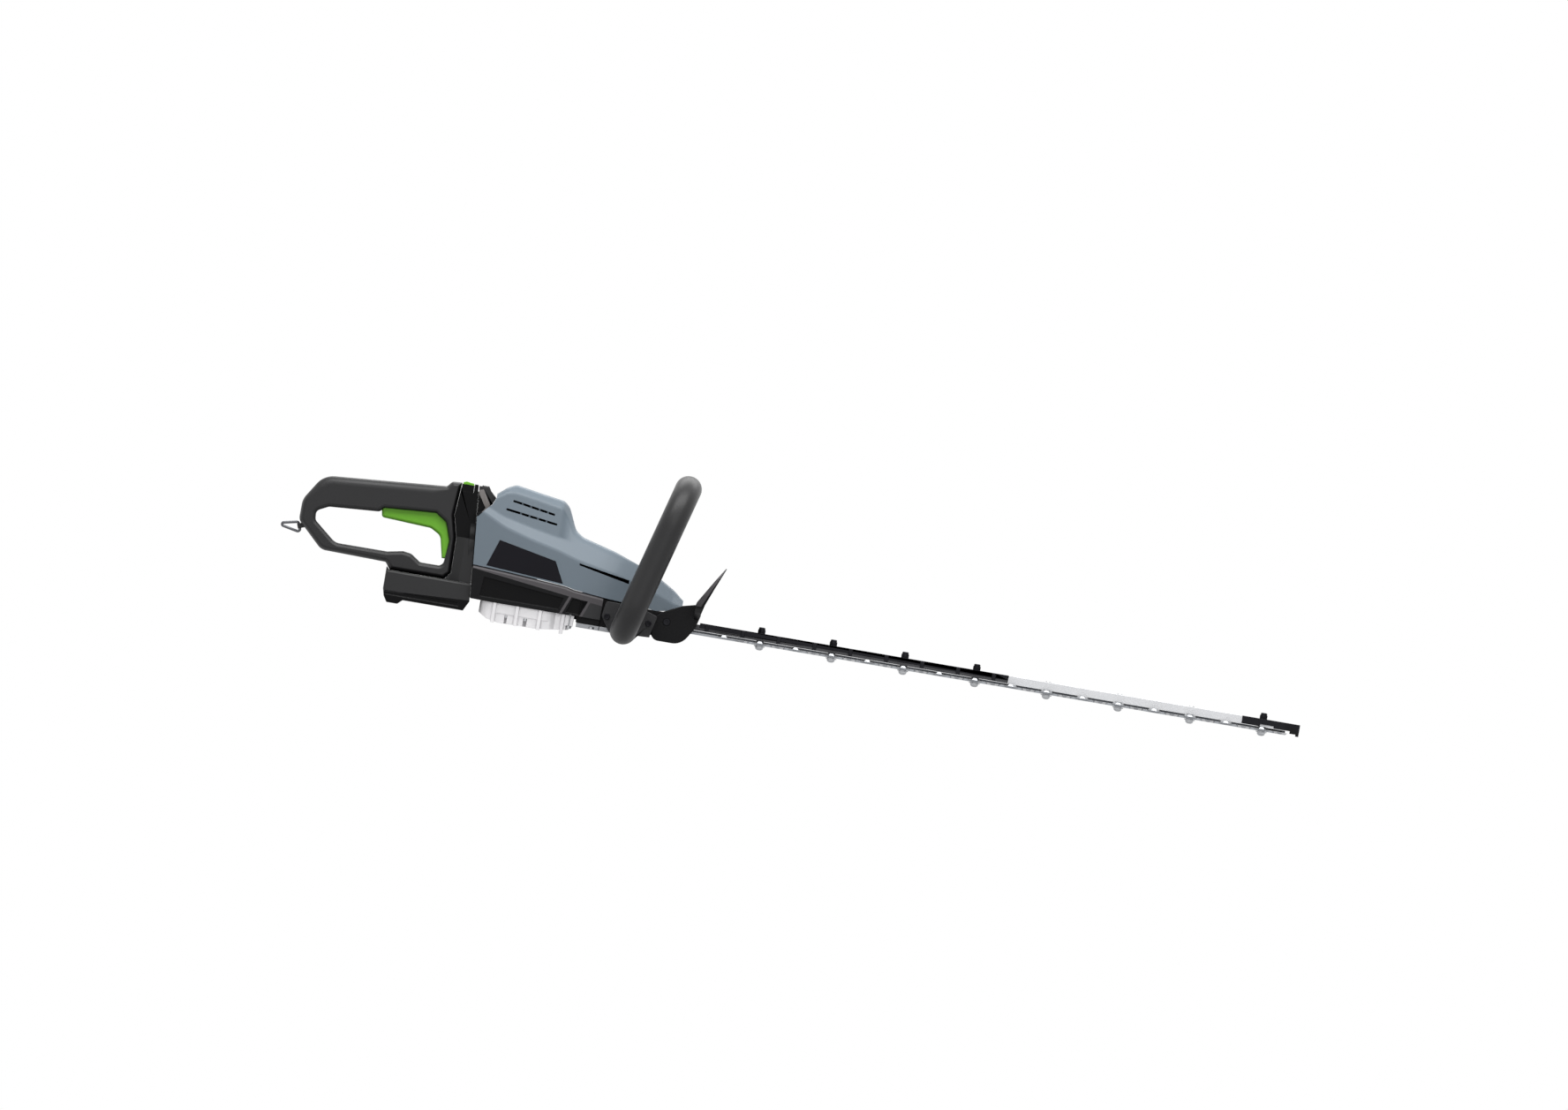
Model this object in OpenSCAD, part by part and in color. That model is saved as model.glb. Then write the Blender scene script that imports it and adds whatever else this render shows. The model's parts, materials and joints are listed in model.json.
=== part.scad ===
// Double-sided hedge trimmer, built as the real one comes apart on a bench.
// A housing with an upright motor drives two opposed blades through a gear, two eccentrics and two rods.
// The rear D-handle swivels on the housing, and a rubber-covered loop handle stands over the nose.
// Working frame: x = 0 at the blade root, +x forward along the blades, +y to the user's left,
// z = 0 on the top face of the guide bar. place() moves the whole tool to its own origin at the end.

/* [Blades] */
// Teeth along each side of a blade
tooth_count = 16; // [10:2:20]
// Distance from one tooth to the next
tooth_pitch = 39.25; // [34:0.25:44]
// Clear gap between two tooth tips
tooth_gap = 33; // [28:0.5:35]
// Width of a tooth at its root
tooth_root = 17; // [13:0.5:20]
// How far a tooth reaches out from the middle of the blade
tooth_reach = 36; // [30:0.5:42]
// Width of the blade's spine, without its teeth
spine_w = 27; // [24:0.5:32]
// Thickness of one blade
blade_t = 2.2; // [1.8:0.1:3]
// Play between the two blades, and between the bar and the upper blade
blade_play = 0.3; // [0.15:0.05:0.5]
// Place of the first blade bolt, ahead of the blade root
bolt_first = 70; // [64:1:76]
// Blade bolt shank diameter
bolt_d = 6; // [5:0.5:7]
// Outside diameter of the bush round each blade bolt
bush_d = 8; // [7.5:0.5:10]

/* [Guide bar] */
// Width of the guide bar
bar_w = 28; // [26:0.5:32]
// Thickness of the guide bar
bar_t = 8.5; // [7:0.5:12]
// Wall of the black bar cover
bar_cover_t = 2; // [1.5:0.1:3]
// Blade bolts that pass through the bar cover
covered_bolts = 4; // [2:1:4]
// Width of the blunt guard on the tip
tip_w = 40; // [34:1:50]

/* [Drive] */
// Gear module
gear_m = 1.25; // [1.2:0.05:1.3]
// Teeth on the motor pinion
pinion_teeth = 12; // [12:1:13]
// Teeth on the crank gear
crank_teeth = 48; // [46:1:48]
// Pressure angle of the teeth
pressure_angle = 25; // [24:1:26]
// Face width of the crank gear
gear_w = 5; // [4:0.5:6]
// Place of the crank axis, behind the blade root
crank_back = 169; // [167:1:171]
// Place of the rods' small ends, behind the blade root
rod_pin_back = 104; // [100:1:106]
// Diameter of each eccentric
eccentric_d = 35; // [34:0.5:36]
// Thickness of a rod
rod_t = 4.5; // [4:0.25:5]
// Crank shaft diameter
crank_shaft_d = 12; // [10:1:12]
// Outside diameter of the crank bearings
crank_bearing_d = 28; // [24:1:30]
// Width of the crank bearings
crank_bearing_w = 8; // [6:1:8]

/* [Motor] */
// Outside diameter of the stator
stator_d = 56; // [50:1:58]
// Length of the stator
stator_len = 36; // [30:1:40]
// Outside diameter of the rotor
rotor_d = 29; // [26:0.5:32]
// Motor shaft diameter
motor_shaft_d = 8; // [7:0.5:8]
// Outside diameter of the motor bearings
motor_bearing_d = 22; // [19:1:24]
// Blades on the cooling fan
fan_blades = 9; // [7:2:13]

/* [Housing] */
// Width of the housing at the motor
cover_w = 82; // [78:1:88]
// Width of the housing at its nose
nose_w = 36; // [34:1:38]
// Wall of the top cover
cover_wall = 2.6; // [2:0.1:3]
// Wall of the base frame
base_wall = 3.6; // [3:0.1:4.4]
// Cooling slots on each side of the motor hump
vent_rows = 2; // [1:1:3]
// Depth of the ribbed gear cover
gear_cover_h = 21; // [20:0.5:24]

/* [Rear handle] */
// Width of the D-handle across the grip
grip_w = 33; // [30:0.5:37]
// Rounding of the D-handle's edges
grip_round = 5; // [3:0.5:5.5]
// Wall of the handle halves
handle_wall = 3; // [2.4:0.2:3.6]
// Width of the trigger
trigger_w = 22; // [18:0.5:23]
// Travel of the lock-off button
lock_travel = 3; // [2:0.25:3]
// Width of the adapter port
port_w = 64; // [60:1:72]
// Width of the socket inside the port
socket_w = 46; // [40:1:50]
// Depth of the socket
socket_depth = 62; // [50:1:66]
// Wire diameter of the hanging ring
ring_wire = 3; // [2.4:0.2:3.4]

/* [Swivel] */
// Height of the swivel axis where it crosses the joint face
swivel_z = 42; // [40:1:44]
// Tilt of the swivel axis, nose up
swivel_tilt = 5; // [4:0.5:6]
// Outside diameter of the spindle
spindle_d = 48; // [42:1:50]
// Thickness of the collar
collar_t = 6; // [5:0.5:7]

/* [Front handle] */
// Outside diameter of the rubber grip
loop_d = 29; // [26:0.5:31]
// Outside diameter of the tube inside the grip
loop_tube_d = 20; // [16:0.5:21]
// Width of the loop between tube centres
loop_w = 200; // [180:2:230]
// Height of the loop between tube centres, along its own plane
loop_h = 168.3; // [150:0.5:180]
// Forward lean of the loop
loop_lean = 15.1; // [10:0.5:18]
// Corner radius of the loop, on the tube's centre line
loop_corner = 46; // [36:1:56]

/* [Hand guard] */
// Width of the shield
shield_w = 140; // [110:2:160]
// Height of the shield's tip above the guide bar
shield_top = 62.5; // [54:0.5:70]
// Lean of the shield, forward from upright
shield_lean = 24; // [18:1:28]

/* [Fits] */
// Radial play of shafts in their bores
running_fit = 0.05; // [0.03:0.01:0.08]
// Gap between parts that move past each other
clear = 0.3; // [0.2:0.05:0.4]

/* [Hidden] */
$fn = 64;
eps = 0.01;

// ---- blade set, worked out from the teeth ----
bolt_pitch = 2 * tooth_pitch;
bolt_count = tooth_count / 2;
function bolt_x(n) = bolt_first + bolt_pitch * n;
bolt_last = bolt_x(bolt_count - 1);
covered = min(covered_bolts, bolt_count - 2);
bar_cover_end = bolt_x(covered - 1) + 35.5;
tip_start = bolt_last - 22.5;
tip_end = bolt_last + 40.5;
spine_end = bolt_last + 25.5;
blade_throw = tooth_pitch / 4;
upper_z = -bar_t - blade_play;
lower_z = upper_z - blade_t - 0.1;
stack_z = lower_z - blade_t;
bush_end = stack_z - 0.3;
rod_eye_r = 7;
bar_back = rod_pin_back - blade_throw - rod_eye_r - 2;
blade_back = rod_pin_back + 8;
slot_w = bush_d + 0.4;
slot_len = slot_w + 2 * blade_throw + 0.8;

// ---- drive ----
x_crank = -crank_back;
x_pin = -rod_pin_back;
gear_r = gear_m * crank_teeth / 2;
pinion_r = gear_m * pinion_teeth / 2;
x_motor = x_crank - gear_r - pinion_r;
gear_tip_r = gear_r + gear_m;
gear_top = upper_z - 0.2;
gear_bot = gear_top - gear_w;
rod_gap = 0.3;
upper_rod_top = gear_top + rod_gap + rod_t + 0.3;
lower_rod_bot = gear_bot - rod_gap - rod_t;
rod_r = eccentric_d / 2 + 4.5;
rod_room = 2 * blade_throw + rod_eye_r + 1.4;
case_split = -15.2;
case_ceiling = upper_rod_top + 0.7;
case_top = 3;
case_floor = lower_rod_bot - 0.9;
case_half = 35.6;
case_rear = -236;
case_front = -131;

// ---- motor ----
flange_top = case_top + 15;
stator_bot = flange_top;
stator_top = stator_bot + stator_len;
bracket_top = stator_top + 10;
fan_bot = bracket_top + 3;
fan_top = fan_bot + 13;
motor_bearing_w = 7;

// ---- housing ----
nose_x = -19;
cover_bottom_gap = 0.3;
base_bottom = case_split;
base_inner = cover_w / 2 - base_wall - 1.4;
base_front = -104.2;
nose_top = 4.4;
nose_rear = -130;
nose_half = 34;
nose_tip_half = 25;
nose_bottom = case_floor - 2;
plate_bottom = nose_bottom - 5;

// ---- swivel ----
swivel_x = -251.5;

// ---- loop handle ----
loop_foot = [-77.6, -22.5];

// ---- overall place: bottom centre of the bounding box at the origin ----
ring_tip_x = -462;
tool_back = ring_tip_x - ring_wire / 2;
tool_bottom = loop_foot[1] - loop_d / 2;
module place() translate([-(tool_back + tip_end) / 2, 0, -tool_bottom]) children();

// ================= helpers =================

// Unit vector, and the point of a corner arc: a corner [x, y, r] turns into an arc of radius r.
function unit(v) = v / norm(v);
function corner_arc(a, p, b, r, n) =
    let (u = unit([a[0] - p[0], a[1] - p[1]]), v = unit([b[0] - p[0], b[1] - p[1]]),
         half = acos(u * v) / 2, reach = r / tan(half), c = [p[0], p[1]] + unit(u + v) * r / sin(half),
         from = [p[0], p[1]] + u * reach - c, to = [p[0], p[1]] + v * reach - c,
         a0 = atan2(from[1], from[0]), turn = atan2(to[1], to[0]) - a0,
         sweep = turn > 180 ? turn - 360 : turn < -180 ? turn + 360 : turn)
    [for (i = [0:n]) c + r * [cos(a0 + sweep * i / n), sin(a0 + sweep * i / n)]];
function rounded(pts, n = 4) = [
    for (i = [0:len(pts) - 1])
        let (k = len(pts), p = pts[i], a = pts[(i + k - 1) % k], b = pts[(i + 1) % k])
        each (len(p) < 3 || p[2] == 0 ? [[p[0], p[1]]] : corner_arc(a, p, b, p[2], n))
];

// Extrudes an outline drawn in x and z from y0 to y1.
module slab(pts, y0, y1) translate([0, y1, 0]) rotate([90, 0, 0]) linear_extrude(y1 - y0) polygon(pts);

// Extrudes an outline drawn in x and y from z0 to z1.
module tray(pts, z0, z1) translate([0, 0, z0]) linear_extrude(z1 - z0) polygon(pts);

// Box by its low and high corners.
module block(lo, hi) translate(lo) cube(hi - lo);

// Cylinders along z and along y, by their ends.
module post(x, y, z0, z1, r) translate([x, y, z0]) cylinder(r = r, h = z1 - z0);
module cross_pin(x, z, y0, y1, r) translate([x, y1, z]) rotate([90, 0, 0]) cylinder(r = r, h = y1 - y0);

// Both sides of the tool: the child and its mirror image in y.
module both_sides() {
    children();
    mirror([0, 1, 0]) children();
}

// A solid through rings of equal length, closed by flat ends.
module loft(rings) {
    n = len(rings[0]);
    last = len(rings) - 1;
    pts = [for (r = rings) each r];
    skin = [for (j = [0:last - 1], i = [0:n - 1])
        let (a = j * n + i, b = j * n + (i + 1) % n, c = b + n, d = a + n) each [[a, b, c], [a, c, d]]];
    ends = [[for (i = [n - 1:-1:0]) i], [for (i = [0:n - 1]) last * n + i]];
    polyhedron(pts, concat(skin, ends), convexity = 6);
}

// An outline moved in along its own normals; the outline runs anticlockwise.
function inset(pts, d) = [
    for (i = [0:len(pts) - 1])
        let (k = len(pts), u = unit(pts[i] - pts[(i + k - 1) % k]), v = unit(pts[(i + 1) % k] - pts[i]),
             m = [-u[1], u[0]], n = [-v[1], v[0]])
        pts[i] + d * (m + n) / (1 + m * n)
];

// An outline carried across the tool, drawn in by r at both sides, or flared where r is negative.
// Its first and last rings stand proud of the sides by over.
module soft_run(pts, half, r, over) {
    steps = [for (a = [0, 22.5, 45, 67.5, 90]) [abs(r) * (1 - sin(a)),
                                                half - abs(r) * (1 - cos(a)) + (a == 0 ? over : 0)]];
    rings = concat([for (s = steps) [s[0], -s[1]]], [for (i = [len(steps) - 1:-1:0]) steps[i]]);
    loft([for (s = rings) [for (p = inset(pts, sign(r) * s[0])) [p[0], s[1], p[1]]]]);
}

// A plate of the outline with rounded edges and flat sides, and a hole through it with soft edges
module soft_slab(pts, half, r) difference() {
    soft_run(pts, half, r, 0.3);
    both_sides() block([-600, half, -200], [800, half + 2, 300]);
}
module soft_hole(pts, half, r) soft_run(pts, half, -r, 1);

// A compression spring of round wire as a closed helix.
module coil_spring(r, wire, height, turns) {
    n = turns * 12;
    loft([for (j = [0:n])
        let (a = 360 * turns * j / n, z = wire + (height - 2 * wire) * j / n)
        [for (i = [0:5]) [(r + wire * cos(60 * i)) * cos(a), (r + wire * cos(60 * i)) * sin(a),
                          z + wire * sin(60 * i)]]]);
}

// Hex-socket screw along -z with its head's top at z = 0.
module socket_screw(head_d, head_h, shank_d, length) {
    difference() {
        union() {
            translate([0, 0, -head_h]) cylinder(d = head_d, h = head_h);
            translate([0, 0, -length]) cylinder(d = shank_d, h = length - head_h + eps);
        }
        translate([0, 0, -head_h * 0.6]) cylinder(d = head_d * 0.55, h = head_h, $fn = 6);
    }
}

// ================= housing =================

// Half width of the cover's foot along the tool: parallel round the motor, then drawn in to the nose.
function foot_half(x) =
    let (t = min(1, max(0, (nose_x - x) / (nose_x + 155))))
    nose_w / 2 + (cover_w - nose_w) / 2 * sin(90 * t);

// Cover stations: [x, foot, lower and upper bevel line, shoulder, crown, lean of the wall above the bevel]
COVER = [
    [-262, 22, 86, 92, 97, 100, 0.15],
    [-240, 21, 76, 84, 93, 97, 0.15],
    [-226, 20.3, 69, 78, 103, 109, 0.15],
    [-217, 19.8, 65.5, 76, 105, 113.4, 0.15],
    [-190, 18, 58, 70, 101, 109, 0.15],
    [-163, 16, 52, 65, 96.5, 105, 0.15],
    [-156, 15.5, 50, 63.3, 87, 99, 0.42],
    [-146, 14.5, 47, 61, 69, 76, 0.7],
    [-137, 12.5, 44.5, 58, 64, 69.6, 0.7],
    [-100, 9, 37, 49, 54.5, 60, 0.7],
    [-75, 7.5, 31.5, 42, 46.5, 51, 0.7],
    [-46, 4.8, 22, 30.5, 34.5, 38.8, 0.7],
    [-30, 7.5, 15.6, 21.5, 26, 29.4, 0.7],
    [nose_x, 13, 14.2, 16, 18, 20, 0.7]
];
cover_x = [-262, -246, -240, -236, -232, -228, -224, -220, -216, -211, -204, -190, -178, -170, -166,
           -163, -160, -157, -154, -151, -148, -145, -142, -139, -135, -129, -120, -110, -100, -88, -75,
           -62, -54, -48, -43, -37, -31, -27, -23, nose_x];

// A column of the table at x, eased over its corners
function column(x, k) = lookup(x, [for (s = COVER) [s[0], s[k]]]);
function eased(x, k) = (column(x - 3.5, k) + 2 * column(x, k) + column(x + 3.5, k)) / 4;
function station(x) = [x, column(x, 1), eased(x, 2), eased(x, 3), eased(x, 4), eased(x, 5), eased(x, 6)];

// Height of the cover's foot along the tool
function foot_z(x) = column(x, 1);

// A corner eased by three points that start back along its two edges
function soft_corner(a, p, b, back) =
    let (u = unit(a - p) * min(back, norm(a - p) * 0.45), v = unit(b - p) * min(back, norm(b - p) * 0.45))
    [p + u, p + (u + v) * 0.25, p + v];

// One ring of the cover, w in from its outside: up the right side, over the crown, down the left.
// The side drafts in a little, the bevel leans in by 0.7, the wall above by its own lean, the shoulder by 1.
function cover_side(s, w, foot) =
    let (a = foot_half(s[0]) - w, b = a - 0.8, c = b - 0.7 * (s[3] - s[2]),
         d = c - s[6] * (s[4] - s[3]), e = d - (s[5] - s[4]))
    [[-a, foot], [-b, s[2] - w * 0.4], [-c, s[3] - w * 0.9], [-d, s[4] - w], [-e, s[5] - w]];
function soft_side(q) = [
    q[0],
    each soft_corner(q[0], q[1], q[2], 4),
    each soft_corner(q[1], q[2], q[3], 3),
    each soft_corner(q[2], q[3], q[4], 3.5),
    each soft_corner(q[3], q[4], [0, q[4][1]], 5)
];
function over(x, side) = [for (p = side) [x, p[0], p[1]],
                          for (i = [len(side) - 1:-1:0]) [x, -side[i][0], side[i][1]]];

module cover_outside()
    loft([for (x = cover_x) let (s = station(x)) over(x, soft_side(cover_side(s, 0, s[1])))]);
module cover_inside() {
    last = len(cover_x) - 1;
    loft([for (i = [0:last])
        let (x = cover_x[i] + (i == 0 ? -6 : i == last ? -cover_wall - 1 : 0))
        over(x, cover_side(station(cover_x[i]), cover_wall, -6))]);
}

// The joint face of the swivel cuts the housing off behind; the upper corner leans away from it.
module in_swivel() translate([swivel_x, 0, swivel_z]) rotate([0, -swivel_tilt, 0]) children();
module behind_joint(s) in_swivel() translate([s - 120, -90, -120]) cube([120, 180, 240]);

// Screws that hold the cover: a pair into the base frame behind, a pair into the nose block.
cover_posts = [[-236.6, 34, 21], [-112, 31.3, 10.2]];
post_r = 4.4;
post_hole_r = 1.5;
vent_pitch = 10;
vent_h = 2.4;
vent_ribs = 4;
vent_rib_step = 9.5;
vent_rib_half = 26.6;

module vents() {
    // Rows of slots through the hump, along its crown, and the long outlet slot over the nose
    for (i = [0:vent_rows - 1])
        difference() {
            slab(rounded([[-218 - 6 * i, 97.4 - vent_pitch * i, 1], [-218 - 6 * i, 95 - vent_pitch * i, 1],
                          [-171 + 4 * i, 87.4 - vent_pitch * i, 1],
                          [-171 + 4 * i, 87.4 + vent_h - vent_pitch * i, 1]],
                         3), -60, 60);
            // ribs stand across each slot, set back behind the face
            for (k = [0:vent_ribs - 1]) block([-208 + vent_rib_step * k, -vent_rib_half - 1.6 * i, 60],
                                              [-207 + vent_rib_step * k, vent_rib_half + 1.6 * i, 110]);
        }
    slab([[-136, 39.6], [-80, 28.4], [-80, 32.4], [-136, 41.6]], -60, 60);
}

// Outline of the bare name panel on each side
panel = [[-235, 22.8], [-150.5, 17], [-162, 39.5], [-225, 52]];
panel_t = 1;

module top_cover() color("#727e88") difference() {
    cover_outside();
    difference() {
        cover_inside();
        both_sides() for (p = cover_posts) post(p[0], p[1], p[2], 40, post_r);
    }
    behind_joint(0.4);
    // the upper rear corner is cut back round the collar's ear
    slab([[-270, 73.5], [-252.6, 73.5], [-245.7, 82.3], [-239.7, 88.1], [-236.2, 96.5], [-236.2, 120],
          [-270, 120]], -60, 60);
    vents();
    both_sides() {
        slab(inset(panel, -0.2), foot_half(-200) - 0.8 - panel_t, 60);
        for (p = cover_posts) post(p[0], p[1], 0, 38, post_hole_r);
    }
}

// Blank dark panels, one in the recess on each side
module side_panels() color("#1c1b22") both_sides()
    slab(panel, foot_half(-200) - 0.75 - panel_t, foot_half(-200) - 0.35);

// Outside of the base frame: proud of the cover's foot by a ledge that leans in to it
ledge = 0.8;
module frame_outside()
    loft([for (x = [-252, -240, -215, -190, -155, -146, -137, -128, -120, -112, base_front])
    let (a = foot_half(x) + ledge, top = foot_z(x) - cover_bottom_gap)
    over(x, [[-a, base_bottom], [-a, top - 2.6], [-a + 2.4, top]])]);

// Base frame: a tray without a floor, its rim following the cover's foot.
module base_frame() color("#151518") {
    difference() {
        frame_outside();
        // open middle: the gear case and the nose block drop in from below
        block([-264, -base_inner, -20], [nose_rear - 1, base_inner, 30]);
        block([nose_rear - 2, -nose_half - 0.3, -20], [base_front + 5, nose_half + 0.3, 30]);
        behind_joint(0.4);
        // deep side recesses with slanted ends, and the smaller one ahead of them
        both_sides() {
            slab([[-237, -11], [-151, -11], [-147, 1.5], [-235, 10]], cover_w / 2 - 2.6, 60);
            slab([[-142, -12.5], [-127, -13.5], [-121, 2], [-137, 2.5]], cover_w / 2 - 4, 60);
        }
        both_sides() slab([[-143, -30], [-127, -30], [-127, -15.4], [-143, -13.8]], 20, 60);
        both_sides() rear_screw_hole();
    }
    // sill across the back, which carries the collar, and posts that take the cover's rear screws
    difference() {
        union() {
            in_swivel() block([0.3 + collar_t, -base_inner - eps, -57.2],
                              [4.2 + collar_t, base_inner + eps, -53.6]);
            both_sides() block([-240.2, 32, -13], [-233, base_inner + eps, 20.3]);
        }
        both_sides() rear_screw_hole();
    }
}
module rear_screw_hole() {
    post(cover_posts[0][0], cover_posts[0][1], -20, 30, post_hole_r + 0.3);
    post(cover_posts[0][0], cover_posts[0][1], -20, rear_screw_seat, 3.2);
}
rear_screw_seat = -13;

// ================= gear case =================

// Plan of the two case halves: round about the crank, straight back to the motor end.
module case_plan(half) {
    intersection() {
        union() {
            translate([x_crank, 0]) circle(half, $fn = 96);
            translate([case_rear + 12, -half]) square([x_crank - case_rear - 12, 2 * half]);
            translate([case_rear, -half + 12]) square([40, 2 * half - 24]);
            for (s = [-1, 1]) translate([case_rear + 12, s * (half - 12)]) circle(12);
            translate([x_crank, -half + 4]) square([case_front - x_crank, 2 * half - 8]);
        }
        translate([case_rear, -half]) square([case_front - case_rear, 2 * half]);
    }
}

// Room for the gear, the eccentrics and the rods between two heights
module crank_space(z0, z1) {
    post(x_crank, 0, z0, z1, gear_tip_r + 1.2);
    block([x_crank, -rod_room, z0], [case_front + 1, rod_room, z1]);
}

boss_top = case_ceiling + crank_bearing_w + 1.6;
boss_r = crank_bearing_d / 2 + 3;
case_screws = [[-229, 24], [-205, 32], [-136.5, 31.2], [-184, 32.3]];

module gear_case() color("#3a3c40") difference() {
    union() {
        translate([0, 0, case_split]) linear_extrude(case_top - case_split) case_plan(case_half);
        post(x_crank, 0, case_ceiling, boss_top, boss_r);
    }
    crank_space(case_split - 1, case_ceiling);
    // pinion room, opening into the gear's
    post(x_motor, 0, gear_bot - 1.2, gear_top + 0.9, pinion_r + gear_m + 1);
    post(x_motor, 0, gear_top, case_top + 1, motor_shaft_d / 2 + 0.6);
    post(x_crank, 0, case_ceiling - 1, case_ceiling + crank_bearing_w, crank_bearing_d / 2);
    // lightening pockets between ribs under the motor
    both_sides() block([case_rear + 6, 5, case_split - 1], [x_motor - 14, 24 - 5, case_ceiling]);
    both_sides() for (s = case_screws) post(s[0], s[1], case_split - 1, case_split + 9, 1.3);
    for (a = motor_screw_angles) {
        p = motor_screw(a);
        post(p[0], p[1], case_top - 5, case_top + 1, 1.3);
    }
}

// Ribbed cover under the gear case, with the lower crank bearing in its floor
module gear_cover() color("#cfcfd0") {
    floor_z = case_split - gear_cover_h;
    skirt = [[case_rear + 1, case_split], [case_front - 1, case_split], [case_front - 1.5, -27],
             [-137, -31.5],
             [-150, floor_z + 3], [-170, floor_z + 0.4], [-213, floor_z], [-226, floor_z + 2.6], [-235, -28]];
    rib_step = 25;
    difference() {
        union() {
            intersection() {
                translate([0, 0, floor_z - 1]) linear_extrude(gear_cover_h + 1) case_plan(cover_w / 2 - 4.2);
                slab(skirt, -60, 60);
            }
            // four ribs wrap the sides and the floor
            intersection() {
                translate([0, 0, floor_z - 1]) linear_extrude(gear_cover_h + 1) case_plan(cover_w / 2 - 1.2);
                for (i = [0:3]) block([-221 + rib_step * i, -60, floor_z - 0.6],
                                      [-217 + rib_step * i, 60, case_split]);
            }
        }
        crank_space(case_floor, case_split + 1);
        post(x_motor, 0, gear_bot - 1.2, case_split + 1, pinion_r + gear_m + 1);
        post(x_crank, 0, case_floor - crank_bearing_w, case_floor + 1, crank_bearing_d / 2);
        // cooling pockets in the floor between the ribs
        for (i = [0:2]) both_sides()
            block([-215.5 + rib_step * i, 17, floor_z - 2], [-222.5 + rib_step * (i + 1), 29, -28]);
        both_sides() block([-215.5, 4, floor_z - 2], [-197.5, 14, -27]);
        // lower panels of the sides, set back between the ribs
        for (i = [0:2]) both_sides()
            block([-216.2 + rib_step * i, cover_w / 2 - 5.8, floor_z - 2],
                  [-221.8 + rib_step * (i + 1), 60, -26]);
        both_sides() for (s = case_screws) {
            post(s[0], s[1], -60, case_split + 1, 1.7);
            post(s[0], s[1], -60, -27, 3.4);
        }
    }
}

module gear_cover_screws() color("silver") both_sides()
    for (s = case_screws) translate([s[0], s[1], -27]) mirror([0, 0, 1]) translate([0, 0, 2.8])
        socket_screw(5.5, 2.8, 2.5, 20);

// ================= swivel collar and release =================

// Ear that the collar raises over the housing's rear corner, around the release button
release_half = 9;
release_travel = 3;
ear_half = 15;
ear = [[-258.3, 101], [-246, 82.7], [-240, 88.2], [-236.5, 96], [-247, 106], [-258.3, 106]];
ear_strip = [[-258.3, 101], [-246, 82.7], [-241.6, 87.2], [-251.4, 103]];
button_foot = 96;
well_floor = button_foot - release_travel - 1;

module swivel_collar() color("#1a1a1c") difference() {
    union() {
        in_swivel() block([0.4, -base_inner + 0.02, -57.2], [0.28 + collar_t, base_inner - 0.02, 36]);
        slab(ear, -ear_half + 2.2, ear_half - 2.2);
        slab(ear_strip, -ear_half, ear_half);
        slab([[-254, 72], [-246, 72], [-241, 87.2], [-246, 84]], -ear_half, ear_half);
    }
    behind_joint(0.4);
    in_swivel() rotate([0, 90, 0]) translate([0, 0, -5]) cylinder(d = spindle_d + 2 * running_fit, h = 30);
    // well of the release button
    block([-256, -release_half - clear, well_floor], [-243.2, release_half + clear, 110]);
    block([-270, -50, -60], [-230, 50, base_bottom]);
}

// Spring-loaded button that frees the handle's swivel
module release_button() color("#2a2a2c") difference() {
    slab(rounded([[-253.7, button_foot, 0], [-243.5, button_foot, 0], [-243.5, 103.2, 0],
                  [-246.2, 107.2, 1], [-253.7, 107.2, 1]], 3),
         -release_half, release_half);
    for (x = [-252, -250, -248]) block([x, -release_half - 1, 106.7], [x + 0.8, release_half + 1, 108]);
}

module release_spring() color("silver") translate([-248.7, 0, well_floor + 0.02])
    coil_spring(2.6, 0.4, button_foot - well_floor - 0.1, 3);

// ================= motor =================

motor_screw_angles = [45, 135, 225, 315];
motor_lug_r = 31;
function motor_screw(a) = [x_motor + motor_lug_r * cos(a), motor_lug_r * sin(a)];
stator_r = stator_d / 2;
bearing_seat_low = case_top + 6;
bearing_seat_high = stator_top + 1;

module motor_flange() color("#8d9094") difference() {
    union() {
        post(x_motor, 0, case_top, flange_top, stator_r);
        for (a = motor_screw_angles) {
            p = motor_screw(a);
            post(p[0], p[1], case_top, case_top + 3, 3.6);
        }
    }
    difference() {
        post(x_motor, 0, case_top + 5, flange_top + 1, stator_r - 3);
        post(x_motor, 0, case_top, bearing_seat_low + motor_bearing_w, motor_bearing_d / 2 + 2.4);
    }
    post(x_motor, 0, bearing_seat_low, flange_top + 1, motor_bearing_d / 2);
    post(x_motor, 0, case_top - 1, flange_top, motor_shaft_d / 2 + 1);
    // room for the crank bearing's boss
    post(x_crank, 0, case_top - 1, boss_top + 0.2, boss_r + 0.3);
    for (a = motor_screw_angles) {
        p = motor_screw(a);
        post(p[0], p[1], case_top - 1, case_top + 4, 1.6);
    }
}

module motor_screws() color("silver") for (a = motor_screw_angles) {
    p = motor_screw(a);
    translate([p[0], p[1], case_top + 5.4]) socket_screw(5, 2.4, 2.5, 9);
}

module motor_end_bracket() color("#8d9094") difference() {
    post(x_motor, 0, stator_top, bracket_top, stator_r);
    difference() {
        post(x_motor, 0, stator_top - 1, bracket_top - 3, stator_r - 3);
        post(x_motor, 0, bearing_seat_high, bracket_top, motor_bearing_d / 2 + 2.4);
    }
    post(x_motor, 0, stator_top - 1, bearing_seat_high + motor_bearing_w, motor_bearing_d / 2);
    post(x_motor, 0, stator_top, bracket_top + 1, motor_shaft_d / 2 + 1);
    // air holes over the coils
    for (i = [0:7]) rotate_at(x_motor, 45 * i) post(stator_r - 8, 0, bracket_top - 4, bracket_top + 1, 3.2);
}

// Turns a child about a vertical axis through x on the centre line, and puts it there
module rotate_at(x, a) translate([x, 0, 0]) rotate([0, 0, a]) children();

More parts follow.
